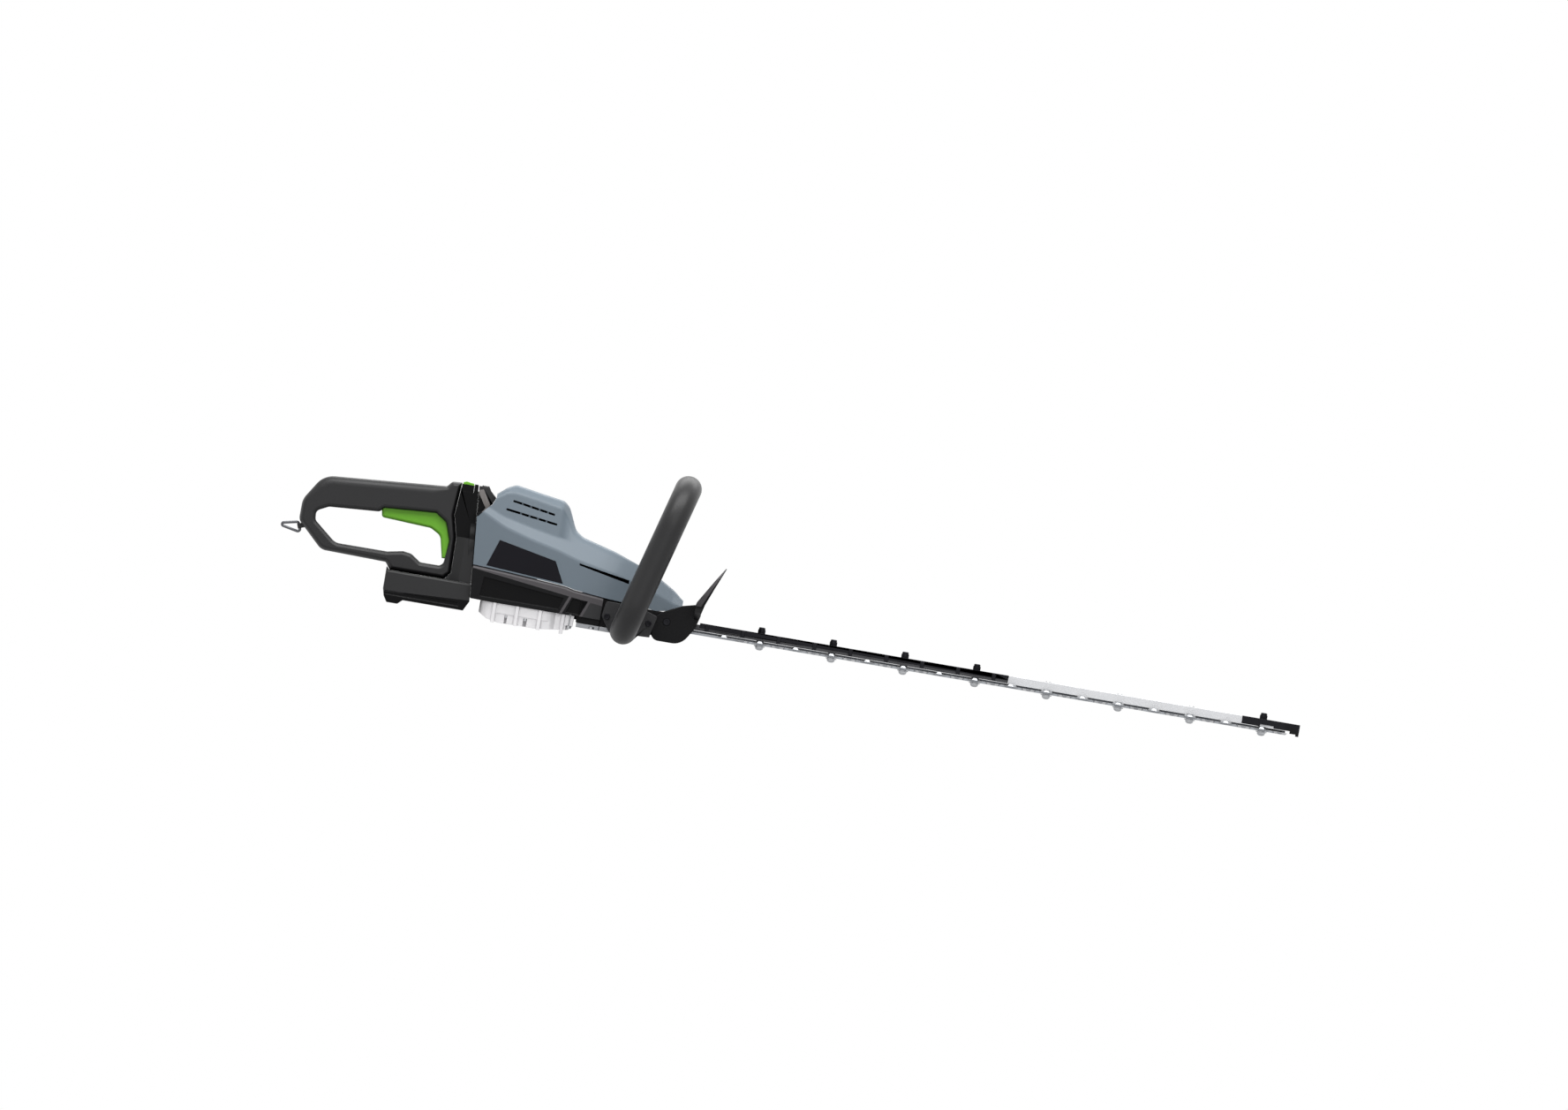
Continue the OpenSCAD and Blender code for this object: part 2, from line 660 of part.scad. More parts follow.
module motor_stator() color("#5a5d62") difference() {
    post(x_motor, 0, stator_bot, stator_top, stator_r);
    post(x_motor, 0, stator_bot - 1, stator_top + 1, rotor_d / 2 + 0.7);
    for (i = [0:11]) rotate_at(x_motor, 30 * i) {
        post(rotor_d / 2 + 6.2, 0, stator_bot - 1, stator_top + 1, 2.7);
        block([rotor_d / 2, -0.9, stator_bot - 1], [rotor_d / 2 + 5, 0.9, stator_top + 1]);
    }
}

module stator_coils() color("#b3622d") for (z = [stator_bot - 5.4, stator_top])
    translate([x_motor, 0, z]) rotate_extrude()
        polygon([[rotor_d / 2 + 2.6, 0.6], [rotor_d / 2 + 3.6, 0], [stator_r - 4.6, 0], [stator_r - 3.6, 1],
                 [stator_r - 3.6, 4.4], [stator_r - 4.6, 5.4], [rotor_d / 2 + 3.6, 5.4],
                 [rotor_d / 2 + 2.6, 4.8]]);

// Ball bearing as one ring with a groove between its races
module bearing(x, z, outer, inner, w) translate([x, 0, z]) rotate_extrude(convexity = 4) {
    mid = (outer + inner) / 4;
    polygon([[inner / 2 + running_fit, 0], [mid - 1, 0], [mid - 1, 0.6], [mid + 1, 0.6], [mid + 1, 0],
             [outer / 2 - 0.01, 0], [outer / 2 - 0.01, w], [mid + 1, w], [mid + 1, w - 0.6],
             [mid - 1, w - 0.6],
             [mid - 1, w], [inner / 2 + running_fit, w]]);
}
module motor_bearings() color("#c9ccd0") {
    bearing(x_motor, bearing_seat_low, motor_bearing_d, motor_shaft_d, motor_bearing_w);
    bearing(x_motor, bearing_seat_high, motor_bearing_d, motor_shaft_d, motor_bearing_w);
}
module crank_bearings() color("#c9ccd0") {
    bearing(x_crank, case_ceiling, crank_bearing_d, crank_shaft_d, crank_bearing_w);
    bearing(x_crank, case_floor - crank_bearing_w, crank_bearing_d, crank_shaft_d, crank_bearing_w);
}

module motor_rotor() color("#4a4c50") difference() {
    post(x_motor, 0, stator_bot + 1, stator_top - 1, rotor_d / 2);
    post(x_motor, 0, stator_bot, stator_top, motor_shaft_d / 2 + 0.01);
}

// Involute spur gear outline of stub teeth; back is the play taken off each tooth at the pitch circle.
function inv(a) = tan(a) - a * PI / 180;
function gear_points(teeth, back, phase) =
    let (r = gear_m * teeth / 2, base = r * cos(pressure_angle), tip = r + 0.9 * gear_m,
         root = r - 1.2 * gear_m, low = max(base, root),
         half = 90 / teeth - back / r * 90 / PI + inv(pressure_angle) * 180 / PI,
         rad = [low, (low + r) / 2, r, (r + tip) / 2, tip],
         ang = [for (q = rad) half - inv(acos(min(1, base / q))) * 180 / PI])
    [for (k = [0:teeth - 1])
        let (c = phase + 360 * k / teeth)
        each concat([root * [cos(c - ang[0] - 0.2), sin(c - ang[0] - 0.2)]],
                    [for (i = [0:4]) rad[i] * [cos(c - ang[i]), sin(c - ang[i])]],
                    [for (i = [4:-1:0]) rad[i] * [cos(c + ang[i]), sin(c + ang[i])]],
                    [root * [cos(c + ang[0] + 0.2), sin(c + ang[0] + 0.2)]])];

backlash = 0.12;
module motor_shaft() color("#b9bcc0") union() {
    post(x_motor, 0, gear_bot + 0.2, fan_top - 1, motor_shaft_d / 2);
    translate([x_motor, 0, gear_bot + 0.2]) linear_extrude(gear_w - 0.4)
        polygon(gear_points(pinion_teeth, backlash, 180 / pinion_teeth));
}

module cooling_fan() color("#26282b") difference() {
    union() {
        post(x_motor, 0, fan_bot, fan_bot + 1.8, stator_r - 1);
        post(x_motor, 0, fan_bot, fan_top, motor_shaft_d / 2 + 4);
        for (i = [0:fan_blades - 1]) rotate_at(x_motor, 360 * i / fan_blades)
            translate([motor_shaft_d / 2 + 3, 0, fan_bot]) rotate([0, 0, 28])
                cube([stator_r - motor_shaft_d / 2 - 7, 1.6, fan_top - fan_bot - 2]);
    }
    post(x_motor, 0, fan_bot - 1, fan_top + 1, motor_shaft_d / 2 + 0.01);
}

// ================= crank and rods =================

module crank_gear() color("#7d8086") difference() {
    union() {
        translate([x_crank, 0, gear_bot]) linear_extrude(gear_w)
            polygon(gear_points(crank_teeth, backlash, 180));
        post(x_crank, blade_throw, gear_top - eps, upper_rod_top, eccentric_d / 2);
        post(x_crank, -blade_throw, lower_rod_bot - 0.3, gear_bot + eps, eccentric_d / 2);
    }
    post(x_crank, 0, lower_rod_bot - 1, upper_rod_top + 1, crank_shaft_d / 2 + 0.01);
    // bores that balance the eccentrics
    post(x_crank, blade_throw + 10.6, lower_rod_bot - 1, upper_rod_top + 1, 3);
    post(x_crank, -blade_throw - 10.6, lower_rod_bot - 1, upper_rod_top + 1, 3);
    for (s = [-1, 1]) post(x_crank + s * 22, 0, gear_bot - 1, gear_top + 1, 4);
}

module crank_shaft() color("#b9bcc0")
    post(x_crank, 0, case_floor - crank_bearing_w + 0.2, case_ceiling + crank_bearing_w - 0.2,
         crank_shaft_d / 2);

// A rod drawn in its plane: eccentric ring, tapered arm with a slot, and eye. y is the eccentric's side.
module rod(y) {
    reach = norm([x_pin - x_crank, blade_throw]);
    translate([x_crank, y]) rotate(atan2(-y, x_pin - x_crank)) difference() {
        union() {
            circle(rod_r, $fn = 96);
            polygon([[10, -11], [reach, -rod_eye_r + 1], [reach, rod_eye_r - 1], [10, 11]]);
            translate([reach, 0]) circle(rod_eye_r);
        }
        circle(eccentric_d / 2 + running_fit, $fn = 96);
        translate([reach, 0]) circle(rod_pin_r + 0.01);
        translate([rod_r + 3, -2.2]) square([reach - rod_r - rod_eye_r - 7, 4.4]);
    }
}
rod_pin_r = 4;
module upper_rod() color("#9a9da2") translate([0, 0, gear_top + rod_gap]) linear_extrude(rod_t)
    rod(blade_throw);
module lower_rod() color("#9a9da2") translate([0, 0, lower_rod_bot]) linear_extrude(rod_t) rod(-blade_throw);
module upper_rod_pin() color("silver") post(x_pin, 0, upper_z + 0.3, gear_top + rod_gap + rod_t, rod_pin_r);
module lower_rod_pin() color("silver") post(x_pin, 0, lower_rod_bot, stack_z - 0.3, rod_pin_r);

// ================= blades and guide bar =================

// One ground tooth: full outline on the shearing face, bevelled back by g on the other face.
tooth_bevel = 2.2;
module tooth(x, shear_z, back_z) {
    root = spine_w / 2 - 1;
    tip = (tooth_pitch - tooth_gap) / 2;
    face = [[x - tip, tooth_reach], [x + tip, tooth_reach], [x + tooth_root / 2, root],
            [x - tooth_root / 2, root]];
    g = tooth_bevel;
    back = [[x - tip + g * 0.7, tooth_reach - 1.2], [x + tip - g * 0.7, tooth_reach - 1.2],
            [x + tooth_root / 2 - g, root], [x - tooth_root / 2 + g, root]];
    low = shear_z < back_z ? face : back;
    high = shear_z < back_z ? back : face;
    loft([[for (p = low) [p[0], p[1], min(shear_z, back_z)]],
          [for (p = high) [p[0], p[1], max(shear_z, back_z)]]]);
}

bar_screw_x = [-70, -38];
function slot_places() = concat(bar_screw_x, [for (n = [0:bolt_count - 1]) bolt_x(n)]);

// A blade: spine with sliding slots and drive eye; first is the first tooth's place.
module blade(first, z, shear_z, back_z) union() {
    difference() {
        translate([0, 0, z]) linear_extrude(blade_t) difference() {
            union() {
                translate([-blade_back, -spine_w / 2 + 4]) square([20, spine_w - 8]);
                translate([-blade_back + 12, -spine_w / 2]) square([spine_end + blade_back - 18, spine_w]);
                translate([spine_end - 8, -spine_w / 2 + 5]) square([8, spine_w - 10]);
            }
            for (x = slot_places()) {
                translate([x - slot_len / 2 + slot_w / 2, -slot_w / 2]) square([slot_len - slot_w, slot_w]);
                for (s = [-1, 1]) translate([x + s * (slot_len - slot_w) / 2, 0]) circle(d = slot_w);
            }
            translate([x_pin, 0]) circle(rod_pin_r + 0.1);
        }
    }
    both_sides() for (k = [0:tooth_count - 1]) tooth(first + tooth_pitch * k, shear_z, back_z);
}
module upper_blade() color("#2b2d30")
    blade(bolt_first - tooth_pitch, upper_z - blade_t, upper_z - blade_t, upper_z);
module lower_blade() color("#8e9196")
    blade(bolt_first - tooth_pitch / 2, stack_z, lower_z, stack_z);

// Aluminium section with two hollow chambers; set down where the black cover and tip guard wrap it
module guide_bar() color("#d4d6d8") difference() {
    block([-bar_back, -bar_w / 2, -bar_t], [spine_end, bar_w / 2, 0]);
    for (s = [-1, 1]) block([-bar_back - 1, s * bar_w * 0.31 - 3, -bar_t + 1.9],
                            [spine_end + 1, s * bar_w * 0.31 + 3, -3.5]);
    block([0, -bar_w, -bar_cover_t], [bar_cover_end, bar_w, 1]);
    block([tip_start, -bar_w, -bar_cover_t], [spine_end + 1, bar_w, 1]);
    for (x = slot_places()) post(x, 0, -bar_t - 1, 1, bolt_d / 2 + 0.2);
}

// Black cover of the near half, with a rib down the bar's side at each tooth gap
module bar_cover() color("#1b1b1d") {
    half = bar_w / 2 + 0.1;
    start = 3;
    difference() {
        union() {
            block([start, -half - bar_cover_t, -5.2], [bar_cover_end - 0.2, half + bar_cover_t, 0]);
            for (k = [0:2 * covered + 1]) let (x = bolt_first + (k - 1.5) * tooth_pitch)
                if (x + 2 < bar_cover_end)
                    block([x - 2, -half - bar_cover_t - 0.8, -bar_t + 0.2],
                          [x + 2, half + bar_cover_t + 0.8, -0.6]);
        }
        block([start - 1, -half, -bar_t - 1], [bar_cover_end + 1, half, -bar_cover_t + 0.05]);
        for (n = [0:covered - 1]) post(bolt_x(n), 0, -bar_t, 1, bolt_d / 2 + 0.2);
    }
}

// Blunt nose over the blade tips
module tip_guard() color("#1b1b1d") difference() {
    union() {
        tray(rounded([[tip_start, -bar_w / 2 - 3, 0], [tip_start + 24, -tip_w / 2, 8],
                      [tip_end - 14, -tip_w / 2, 12],
                      [tip_end, -9, 5], [tip_end, 9, 5], [tip_end - 14, tip_w / 2, 12],
                      [tip_start + 24, tip_w / 2, 8],
                      [tip_start, bar_w / 2 + 3, 0]]), -bar_t + 0.2, 0);
        block([tip_end - 3.6, -9, -13], [tip_end - 0.1, 9, -2]);
    }
    block([tip_start - 1, -bar_w / 2 - 0.1, -bar_t - 1],
          [spine_end + 0.3, bar_w / 2 + 0.1, -bar_cover_t + 0.05]);
    block([tip_start + 20, -40, -bar_t - 1], [tip_start + 35, 40, -6]);
    post(bolt_last, 0, -bar_t, 1, bolt_d / 2 + 0.2);
}

nutted = concat([for (n = [0:covered - 1]) n], [bolt_count - 1]);
head_d = 9;

// Domed bolt head with a washer face, under the blade stack
module blade_bolt(x, top) {
    post(x, 0, bush_end - eps, top, bolt_d / 2);
    translate([x, 0, bush_end]) mirror([0, 0, 1]) rotate_extrude()
        polygon([[0, 0], [head_d / 2 + 1.5, 0], [head_d / 2 + 1.5, 1], [head_d / 2, 1.2], [head_d / 2, 3.4],
                 [head_d / 2 - 1.4, 4.7], [0, 4.9]]);
}
module blade_bolts() color("silver") for (n = [0:bolt_count - 1])
    blade_bolt(bolt_x(n), len(search(n, nutted)) > 0 ? 4.6 : 0.8);
module bar_screws() color("silver") for (x = bar_screw_x) blade_bolt(x, nose_top - 0.4);

module blade_nuts() color("#202022") for (n = nutted) difference() {
    union() {
        translate([bolt_x(n), 0, 0]) cylinder(d = 9.4, h = 4.4, $fn = 6);
        post(bolt_x(n), 0, 0, 6.6, 3.9);
    }
    post(bolt_x(n), 0, -1, 5.2, bolt_d / 2 + 0.01);
}
module blade_bushes() color("#b9bcc0") for (x = slot_places()) difference() {
    post(x, 0, bush_end, -bar_t, bush_d / 2);
    post(x, 0, bush_end - 1, -bar_t + 1, bolt_d / 2 + 0.01);
}

// ================= nose =================

flank_half = 30;
// Half width of the nose block along the tool, and the plan that follows it
flank_end = -48.4;
nose_plan = [[nose_rear, nose_half], [base_front, nose_half], [base_front, flank_half],
             [flank_end, flank_half],
             [flank_end, nose_tip_half], [-9, nose_tip_half]];
function mirrored(plan) = concat([for (p = plan) [p[0], -p[1]]],
                                 [for (i = [len(plan) - 1:-1:0]) plan[i]]);

module nose_block() color("#2c2e31") difference() {
    intersection() {
        tray(mirrored(nose_plan), nose_bottom, 12);
        slab(concat([[nose_rear - 1, nose_bottom], [-20, nose_bottom], [-9, -14], [-9, 6], [-30, 6]],
                    [for (i = [11, 10, 9, 8]) [COVER[i][0], COVER[i][1] - cover_bottom_gap]]), -60, 60);
    }
    // pocket for the controller, room for the rods, channel for the bar and blades
    block([nose_rear - 2, -25, nose_top], [-60, 25, 30]);
    block([-61, -17, nose_top], [0, 17, 30]);
    tray(mirrored([[nose_rear - 2, rod_room], [x_pin + 1, rod_room], [-bar_back - 1, rod_room - 7]]),
         nose_bottom - 1, case_ceiling);
    block([-bar_back - 2, -bar_w / 2 - 0.1, nose_bottom - 1], [0, bar_w / 2 + 0.1, 0]);
    for (x = bar_screw_x) post(x, 0, -1, nose_top + 1, bolt_d / 2 + 0.01);
    both_sides() {
        post(cover_posts[1][0], cover_posts[1][1], -40, 30, 1.8);
        for (x = bracket_screw_x) cross_pin(x, bracket_screw_z, flank_half - 3.2, flank_half + 1, 2.01);
        cross_pin(guard_screw[0], guard_screw[1], nose_tip_half - 8, nose_tip_half + 1, 2.01);
    }
}
bracket_screw_x = [-97.5, -52];
bracket_screw_z = -10;
guard_screw = [-33, -5];

// Plate that closes the nose from below; the loop's bracket clamps it in front
module bottom_plate() color("#85898d") difference() {
    tray(mirrored([[nose_rear + 1, nose_half - 0.5], [base_front, nose_half - 0.5],
                   [base_front, flank_half - 0.5],
                   [flank_end - 0.1, flank_half - 0.5]]), plate_bottom, nose_bottom);
    block([-62.5, -60, plate_bottom - 1], [0, 60, nose_bottom - 3]);
    both_sides() {
        post(cover_posts[1][0], cover_posts[1][1], -40, 30, 1.8);
        post(cover_posts[1][0], cover_posts[1][1], -40, plate_bottom + 2.6, 3.3);
    }
    for (i = [0:4]) block([-126 + 6 * i, -14, plate_bottom - 1], [-123 + 6 * i, 14, plate_bottom + 1.6]);
}

// Cover screws: the rear pair from under the sill, the front pair through plate and nose block
module cover_screws() color("silver") both_sides() {
    translate([cover_posts[0][0], cover_posts[0][1], rear_screw_seat]) mirror([0, 0, 1])
        translate([0, 0, 2.4])
        socket_screw(6, 2.4, 2.98, 46);
    translate([cover_posts[1][0], cover_posts[1][1], plate_bottom]) mirror([0, 0, 1]) translate([0, 0, -0.2])
        socket_screw(6, 2.4, 2.98, 50);
}

module controller() color("#22324a") difference() {
    block([-128, -23.5, nose_top], [-84, 23.5, nose_top + 15]);
    // cooling fins along the top
    for (i = [0:6]) block([-124 + 6 * i, -24, nose_top + 11], [-121 + 6 * i, 24, nose_top + 16]);
}

// ================= hand guard =================

module hand_guard() color("#19191b") {
    hub = rounded([[-48, -26.7, 9], [-14, -26.7, 18], [-1.5, -7, 8], [2.5, 8, 3], [-3, 19, 2], [-19, 15, 3],
                   [-40, 4.6, 4], [-48, -3, 6]]);
    cheek = nose_tip_half + 5;
    difference() {
        slab(hub, -cheek, cheek);
        block([-60, -nose_tip_half - 0.2, nose_bottom], [-8.6, nose_tip_half + 0.2, 40]);
        block([-20, -bar_w / 2 - 0.9, bush_end - 1], [10, bar_w / 2 + 0.9, 0.3]);
        both_sides() {
            cross_pin(guard_screw[0], guard_screw[1], 0, 60, 2.2);
            cross_pin(guard_screw[0], guard_screw[1], cheek - 2.4, 60, 4.2);
        }
    }
    // shield, a thin plate with a rim turned back round its edge
    reach = (shield_top - 8) / cos(shield_lean);
    outline = rounded([[-26, -7, 4], [26, -7, 4], [shield_w / 2 - 6, 8, 22], [shield_w / 2, reach - 22, 20],
                       [shield_w / 2 - 20, reach, 18], [-shield_w / 2 + 20, reach, 18],
                       [-shield_w / 2, reach - 22, 20],
                       [-shield_w / 2 + 6, 8, 22]], 5);
    difference() {
        translate([-1.5, 0, 8]) rotate([0, shield_lean, 0]) rotate([90, 0, 90]) difference() {
            translate([0, 0, -3.4]) linear_extrude(6) polygon(outline);
            translate([0, 0, -4]) linear_extrude(4) difference() {
                polygon(inset(outline, 2.6));
                translate([-2, -10]) square([4, 70]);
            }
        }
        block([-30, -nose_tip_half, -10], [-8.6, nose_tip_half, 14]);
        block([-20, -bar_w / 2 - 0.9, bush_end - 1], [10, bar_w / 2 + 0.9, 0.3]);
    }
}

module guard_screws() color("#3b3d40") both_sides()
    translate([guard_screw[0], nose_tip_half + 5 - 0.2, guard_screw[1]]) rotate([-90, 0, 0])
        socket_screw(8, 2, 4, 12);

// ================= front loop handle =================

loop_low_bend = 34;
module in_loop() translate([loop_foot[0], 0, loop_foot[1]]) rotate([0, loop_lean, 0]) children();

// A bend in the loop's plane, through 90 degrees from angle a about [y, z], of a ring section
module bend(y, z, r, a, outer, inner) translate([0, y, z]) rotate([90, 0, 90]) rotate([0, 0, a])
    rotate_extrude(angle = 90, $fn = 72) translate([r, 0]) difference() {
        circle(outer, $fn = 48);
        circle(inner, $fn = 48);
    }
module pipe(len, outer, inner) difference() {
    cylinder(r = outer, h = len, $fn = 48);
    translate([0, 0, -1]) cylinder(r = inner, h = len + 2, $fn = 48);
}
// The loop from leg end to leg end, its legs starting at leg on each side
module loop_run(outer, inner, leg) in_loop() {
    half = loop_w / 2;
    both_sides() {
        translate([0, leg, 0]) rotate([-90, 0, 0]) pipe(half - loop_low_bend - leg, outer, inner);
        bend(half - loop_low_bend, loop_low_bend, loop_low_bend, -90, outer, inner);
        translate([0, half, loop_low_bend]) pipe(loop_h - loop_low_bend - loop_corner, outer, inner);
        bend(half - loop_corner, loop_h - loop_corner, loop_corner, 0, outer, inner);
    }
    translate([0, loop_corner - half, loop_h]) rotate([-90, 0, 0])
        pipe(loop_w - 2 * loop_corner, outer, inner);
}
socket_out = 49;
module loop_tube() color("#8a8d91") loop_run(loop_tube_d / 2, loop_tube_d / 2 - 1.8, flank_half + 8);
module loop_grip() color("#1d1d1f") loop_run(loop_d / 2, loop_tube_d / 2 + 0.02, socket_out + 0.3);

// Bracket that clasps the nose from below and takes the loop's two ends
bracket_side = rounded([[-101, 6.5, 3], [-103.7, -10, 4], [-94, -24.5, 5], [-90, plate_bottom - 1.3, 0],
                        [-64, plate_bottom - 1.3, 0], [-61.5, -25.2, 0], [-49, -24.7, 2], [-43.5, -1, 2],
                        [-56, 3, 0],
                        [-70, 6, 0]]);
bracket_half = 36;
module loop_bracket() color("#242628") difference() {
    union() {
        block([-91, -bracket_half, tool_bottom + 2], [-64, bracket_half, plate_bottom]);
        both_sides() slab(bracket_side, flank_half + 0.05, bracket_half);
        both_sides() cross_pin(loop_foot[0], loop_foot[1], 34, socket_out, loop_d / 2 - 0.5);
    }
    both_sides() {
        cross_pin(loop_foot[0], loop_foot[1], flank_half + 7.5, socket_out + 1, loop_tube_d / 2 + 0.02);
        for (x = bracket_screw_x) cross_pin(x, bracket_screw_z, 0, 60, 2.2);
    }
    block([-87, -24, tool_bottom], [-68, 24, plate_bottom - 3]);
}
module loop_clamp_screws() color("silver") both_sides() for (x = bracket_screw_x)
    translate([x, bracket_half + 3, bracket_screw_z]) rotate([-90, 0, 0]) socket_screw(7, 3, 4, 12);

// ================= rear handle =================

// Outline of the D-handle seen from the side, and of the hand opening in it
handle_outline = rounded([
    [-414, 9.5, 14], [-343, 8, 0], [-337, 0.3, 0], [-278, 0.3, 0], [-271.4, 8, 0], [-272, 47, 0],
    [-278, 70, 0],
    [-275.4, 106.3, 0], [-286, 105.7, 0], [-291, 99.8, 0], [-400, 91, 0], [-424, 89, 14], [-442.5, 60, 20],
    [-442.5, 38, 10]], 6);
hand_opening = rounded([
    [-400, 19.5, 14], [-343, 19.5, 0], [-326, 22.8, 0], [-317, 21.5, 0], [-306, 14, 5], [-281.5, 14, 6],
    [-279, 42, 8], [-285.5, 61, 8], [-298, 69.2, 4], [-354, 65.2, 0], [-358, 60.4, 0], [-413, 56.5, 8],
    [-426, 50, 6], [-425, 40, 6]], 5);
// Room inside the grip and the front post for the trigger and its switch
trigger_room = [[-283, 17], [-274.6, 19], [-274.8, 48], [-280.7, 70], [-279.5, 93.5], [-360, 88.5],
                [-360, 61.5],
                [-354, 61.5], [-300, 62], [-290, 56], [-284, 42]];
trigger_axis = [-351, 69.5];
trigger_pin_d = 4;
// Ring axis: from its upper to its lower bend
ring_high = [-443, 35];
ring_low = [-438.5, 24];
ring_tip = [ring_tip_x, 29.5];
handle_screw_at = [[-433, 50], [-400, 74], [-366, 75], [-284, 99], [-378, 13.6], [-300, 7]];

module ring_bore() {
    d = unit(ring_low - ring_high);
    translate([ring_high[0], 0, ring_high[1]]) rotate([0, 90 + atan2(-d[1], d[0]), 0]) translate([0, 0, -5])
        cylinder(d = ring_wire + 0.16, h = 25, $fn = 32);
}

module handle_solid() difference() {
    union() {
        soft_slab(handle_outline, grip_w / 2, grip_round);
        difference() {
            slab([[-444.1, 32.6], [-442.2, 27.4], [-434.6, 30.5], [-434, 36.7], [-436.5, 35.7]], -2.6, 2.6);
            ring_bore();
        }
    }
    soft_hole(hand_opening, grip_w / 2, grip_round);
    slab(trigger_room, -trigger_w / 2 - clear, trigger_w / 2 + clear);
    cross_pin(trigger_axis[0], trigger_axis[1], -grip_w / 2 + 2.2, grip_w / 2 - 2.2,
              trigger_pin_d / 2 + 0.01);
    for (p = handle_screw_at) {
        cross_pin(p[0], p[1], -grip_w / 2 + handle_wall, 30, 1.7);
        cross_pin(p[0], p[1], grip_w / 2 - 4, 30, 3.3);
    }
}

module handle_half_right() color("#2f2f31") intersection() {
    handle_solid();
    block([-500, -40, -60], [-200, 0, 120]);
}
module handle_half_left() color("#2f2f31") intersection() {
    handle_solid();
    block([-500, 0, -60], [-200, 40, 120]);
}
module handle_screws() color("silver") for (p = handle_screw_at)
    translate([p[0], grip_w / 2 - 1.6, p[1]]) rotate([-90, 0, 0])
        socket_screw(6.2, 2.4, 3.3, grip_w - handle_wall - 2);

trigger_outline = rounded([
    [-355, 55, 1.8], [-301, 52.2, 8], [-289.5, 46, 10], [-284, 22.3, 0], [-279, 22.3, 0], [-278.4, 42, 0],
    [-284.6, 63, 0], [-297, 72, 2], [-346, 74, 0], [-356.5, 74, 2.5], [-356.5, 64, 0]], 3);
module trigger() color("#66aa2e") difference() {
    soft_slab(trigger_outline, trigger_w / 2, 1.6);
    cross_pin(trigger_axis[0], trigger_axis[1], -20, 20, trigger_pin_d / 2 + running_fit);
}
module trigger_pin() color("silver")
    cross_pin(trigger_axis[0], trigger_axis[1], -grip_w / 2 + 2.3, grip_w / 2 - 2.3, trigger_pin_d / 2);
module trigger_spring() color("silver") translate([-303, 0, 72.4]) coil_spring(3.4, 0.5, 19.36, 5);

module switch_module() color("#303236") union() {
    block([-345, -trigger_w / 2 - clear + 0.02, 79], [-312, trigger_w / 2 + clear - 0.02, 89]);
    post(-330, 0, 75.4, 79 + eps, 1.6);
}

// Green lock-off button across the top, in front of the grip
lock_seat = 101;
lock_floor = lock_seat - lock_travel - 0.4;
lock_stem = 90.4;
lock_well = 86;
module lock_button() color("#66aa2e") union() {
    slab(rounded([[-274.3, lock_seat, 0], [-262.3, lock_seat, 0], [-262.3, 107.4, 1.5], [-266, 107.6, 0],
                  [-270.5, 108.4, 1],
                  [-274.3, 107.2, 1.5]], 3), -15.6, 15.6);
    block([-271, -5, lock_stem], [-265, 5, lock_seat + eps]);
}
module lock_spring() color("silver") translate([-268, 0, lock_well + 0.03])
    coil_spring(2.2, 0.4, lock_stem - lock_well - 0.1, 3);

// Neck between the D-handle and the joint face, with the turning spindle on its front
module swivel_neck() color("#0f0f12") {
    low = [[-277.94, 0.3], [-240, 0.3], [-240, 48], [-271.96, 48], [-271.94, 47], [-271.35, 8]];
    high = [[-271.94, 47], [-240, 47], [-240, 101], [-275.6, 101], [-277.94, 70]];
    roof = [[-275.47, 99], [-240, 99], [-240, 106.8], [-275.3, 106.8]];
    flare = [[-279, 16.2], [-272, 17], [-262, 25], [-240, 31]];
    difference() {
        union() {
            intersection() {
                slab(low, -40, 40);
                tray(mirrored(flare), -2, 50);
            }
            slab(high, -18, 18);
            slab(roof, -grip_w / 2, grip_w / 2);
        }
        in_swivel() block([-0.4, -90, -120], [120, 90, 120]);
        spindle_bore();
        // slot of the lock-off button and the well of its stem
        block([-275.5, -40, lock_floor], [-261.7, 40, 120]);
        block([-271.3, -5.3, lock_well], [-264.7, 5.3, 120]);
    }
    in_swivel() rotate([0, 90, 0]) difference() {
        union() {
            translate([0, 0, -6]) cylinder(r = spindle_d / 2 + 5, h = 5.6);
            translate([0, 0, -4]) cylinder(d = spindle_d, h = 4 + collar_t + 0.5);
            translate([0, 0, 0]) cylinder(d = spindle_d - 4, h = collar_t + 6);
        }
        translate([0, 0, -40]) cylinder(d = spindle_d - 14, h = 80);
    }
}
module spindle_bore() in_swivel() rotate([0, 90, 0]) translate([0, 0, -20])
    cylinder(d = spindle_d - 14, h = 60);

module spindle_ring() color("#9a9da2") in_swivel() rotate([0, 90, 0]) difference() {
    translate([0, 0, collar_t + 0.7]) cylinder(d = spindle_d + 8, h = 4.6);
    translate([0, 0, 0]) cylinder(d = spindle_d - 4 + 0.02, h = 30);
    for (i = [0:3]) rotate([0, 0, 45 + 90 * i]) translate([spindle_d / 2 + 2, -2, 0]) cube([4, 4, 30]);
}

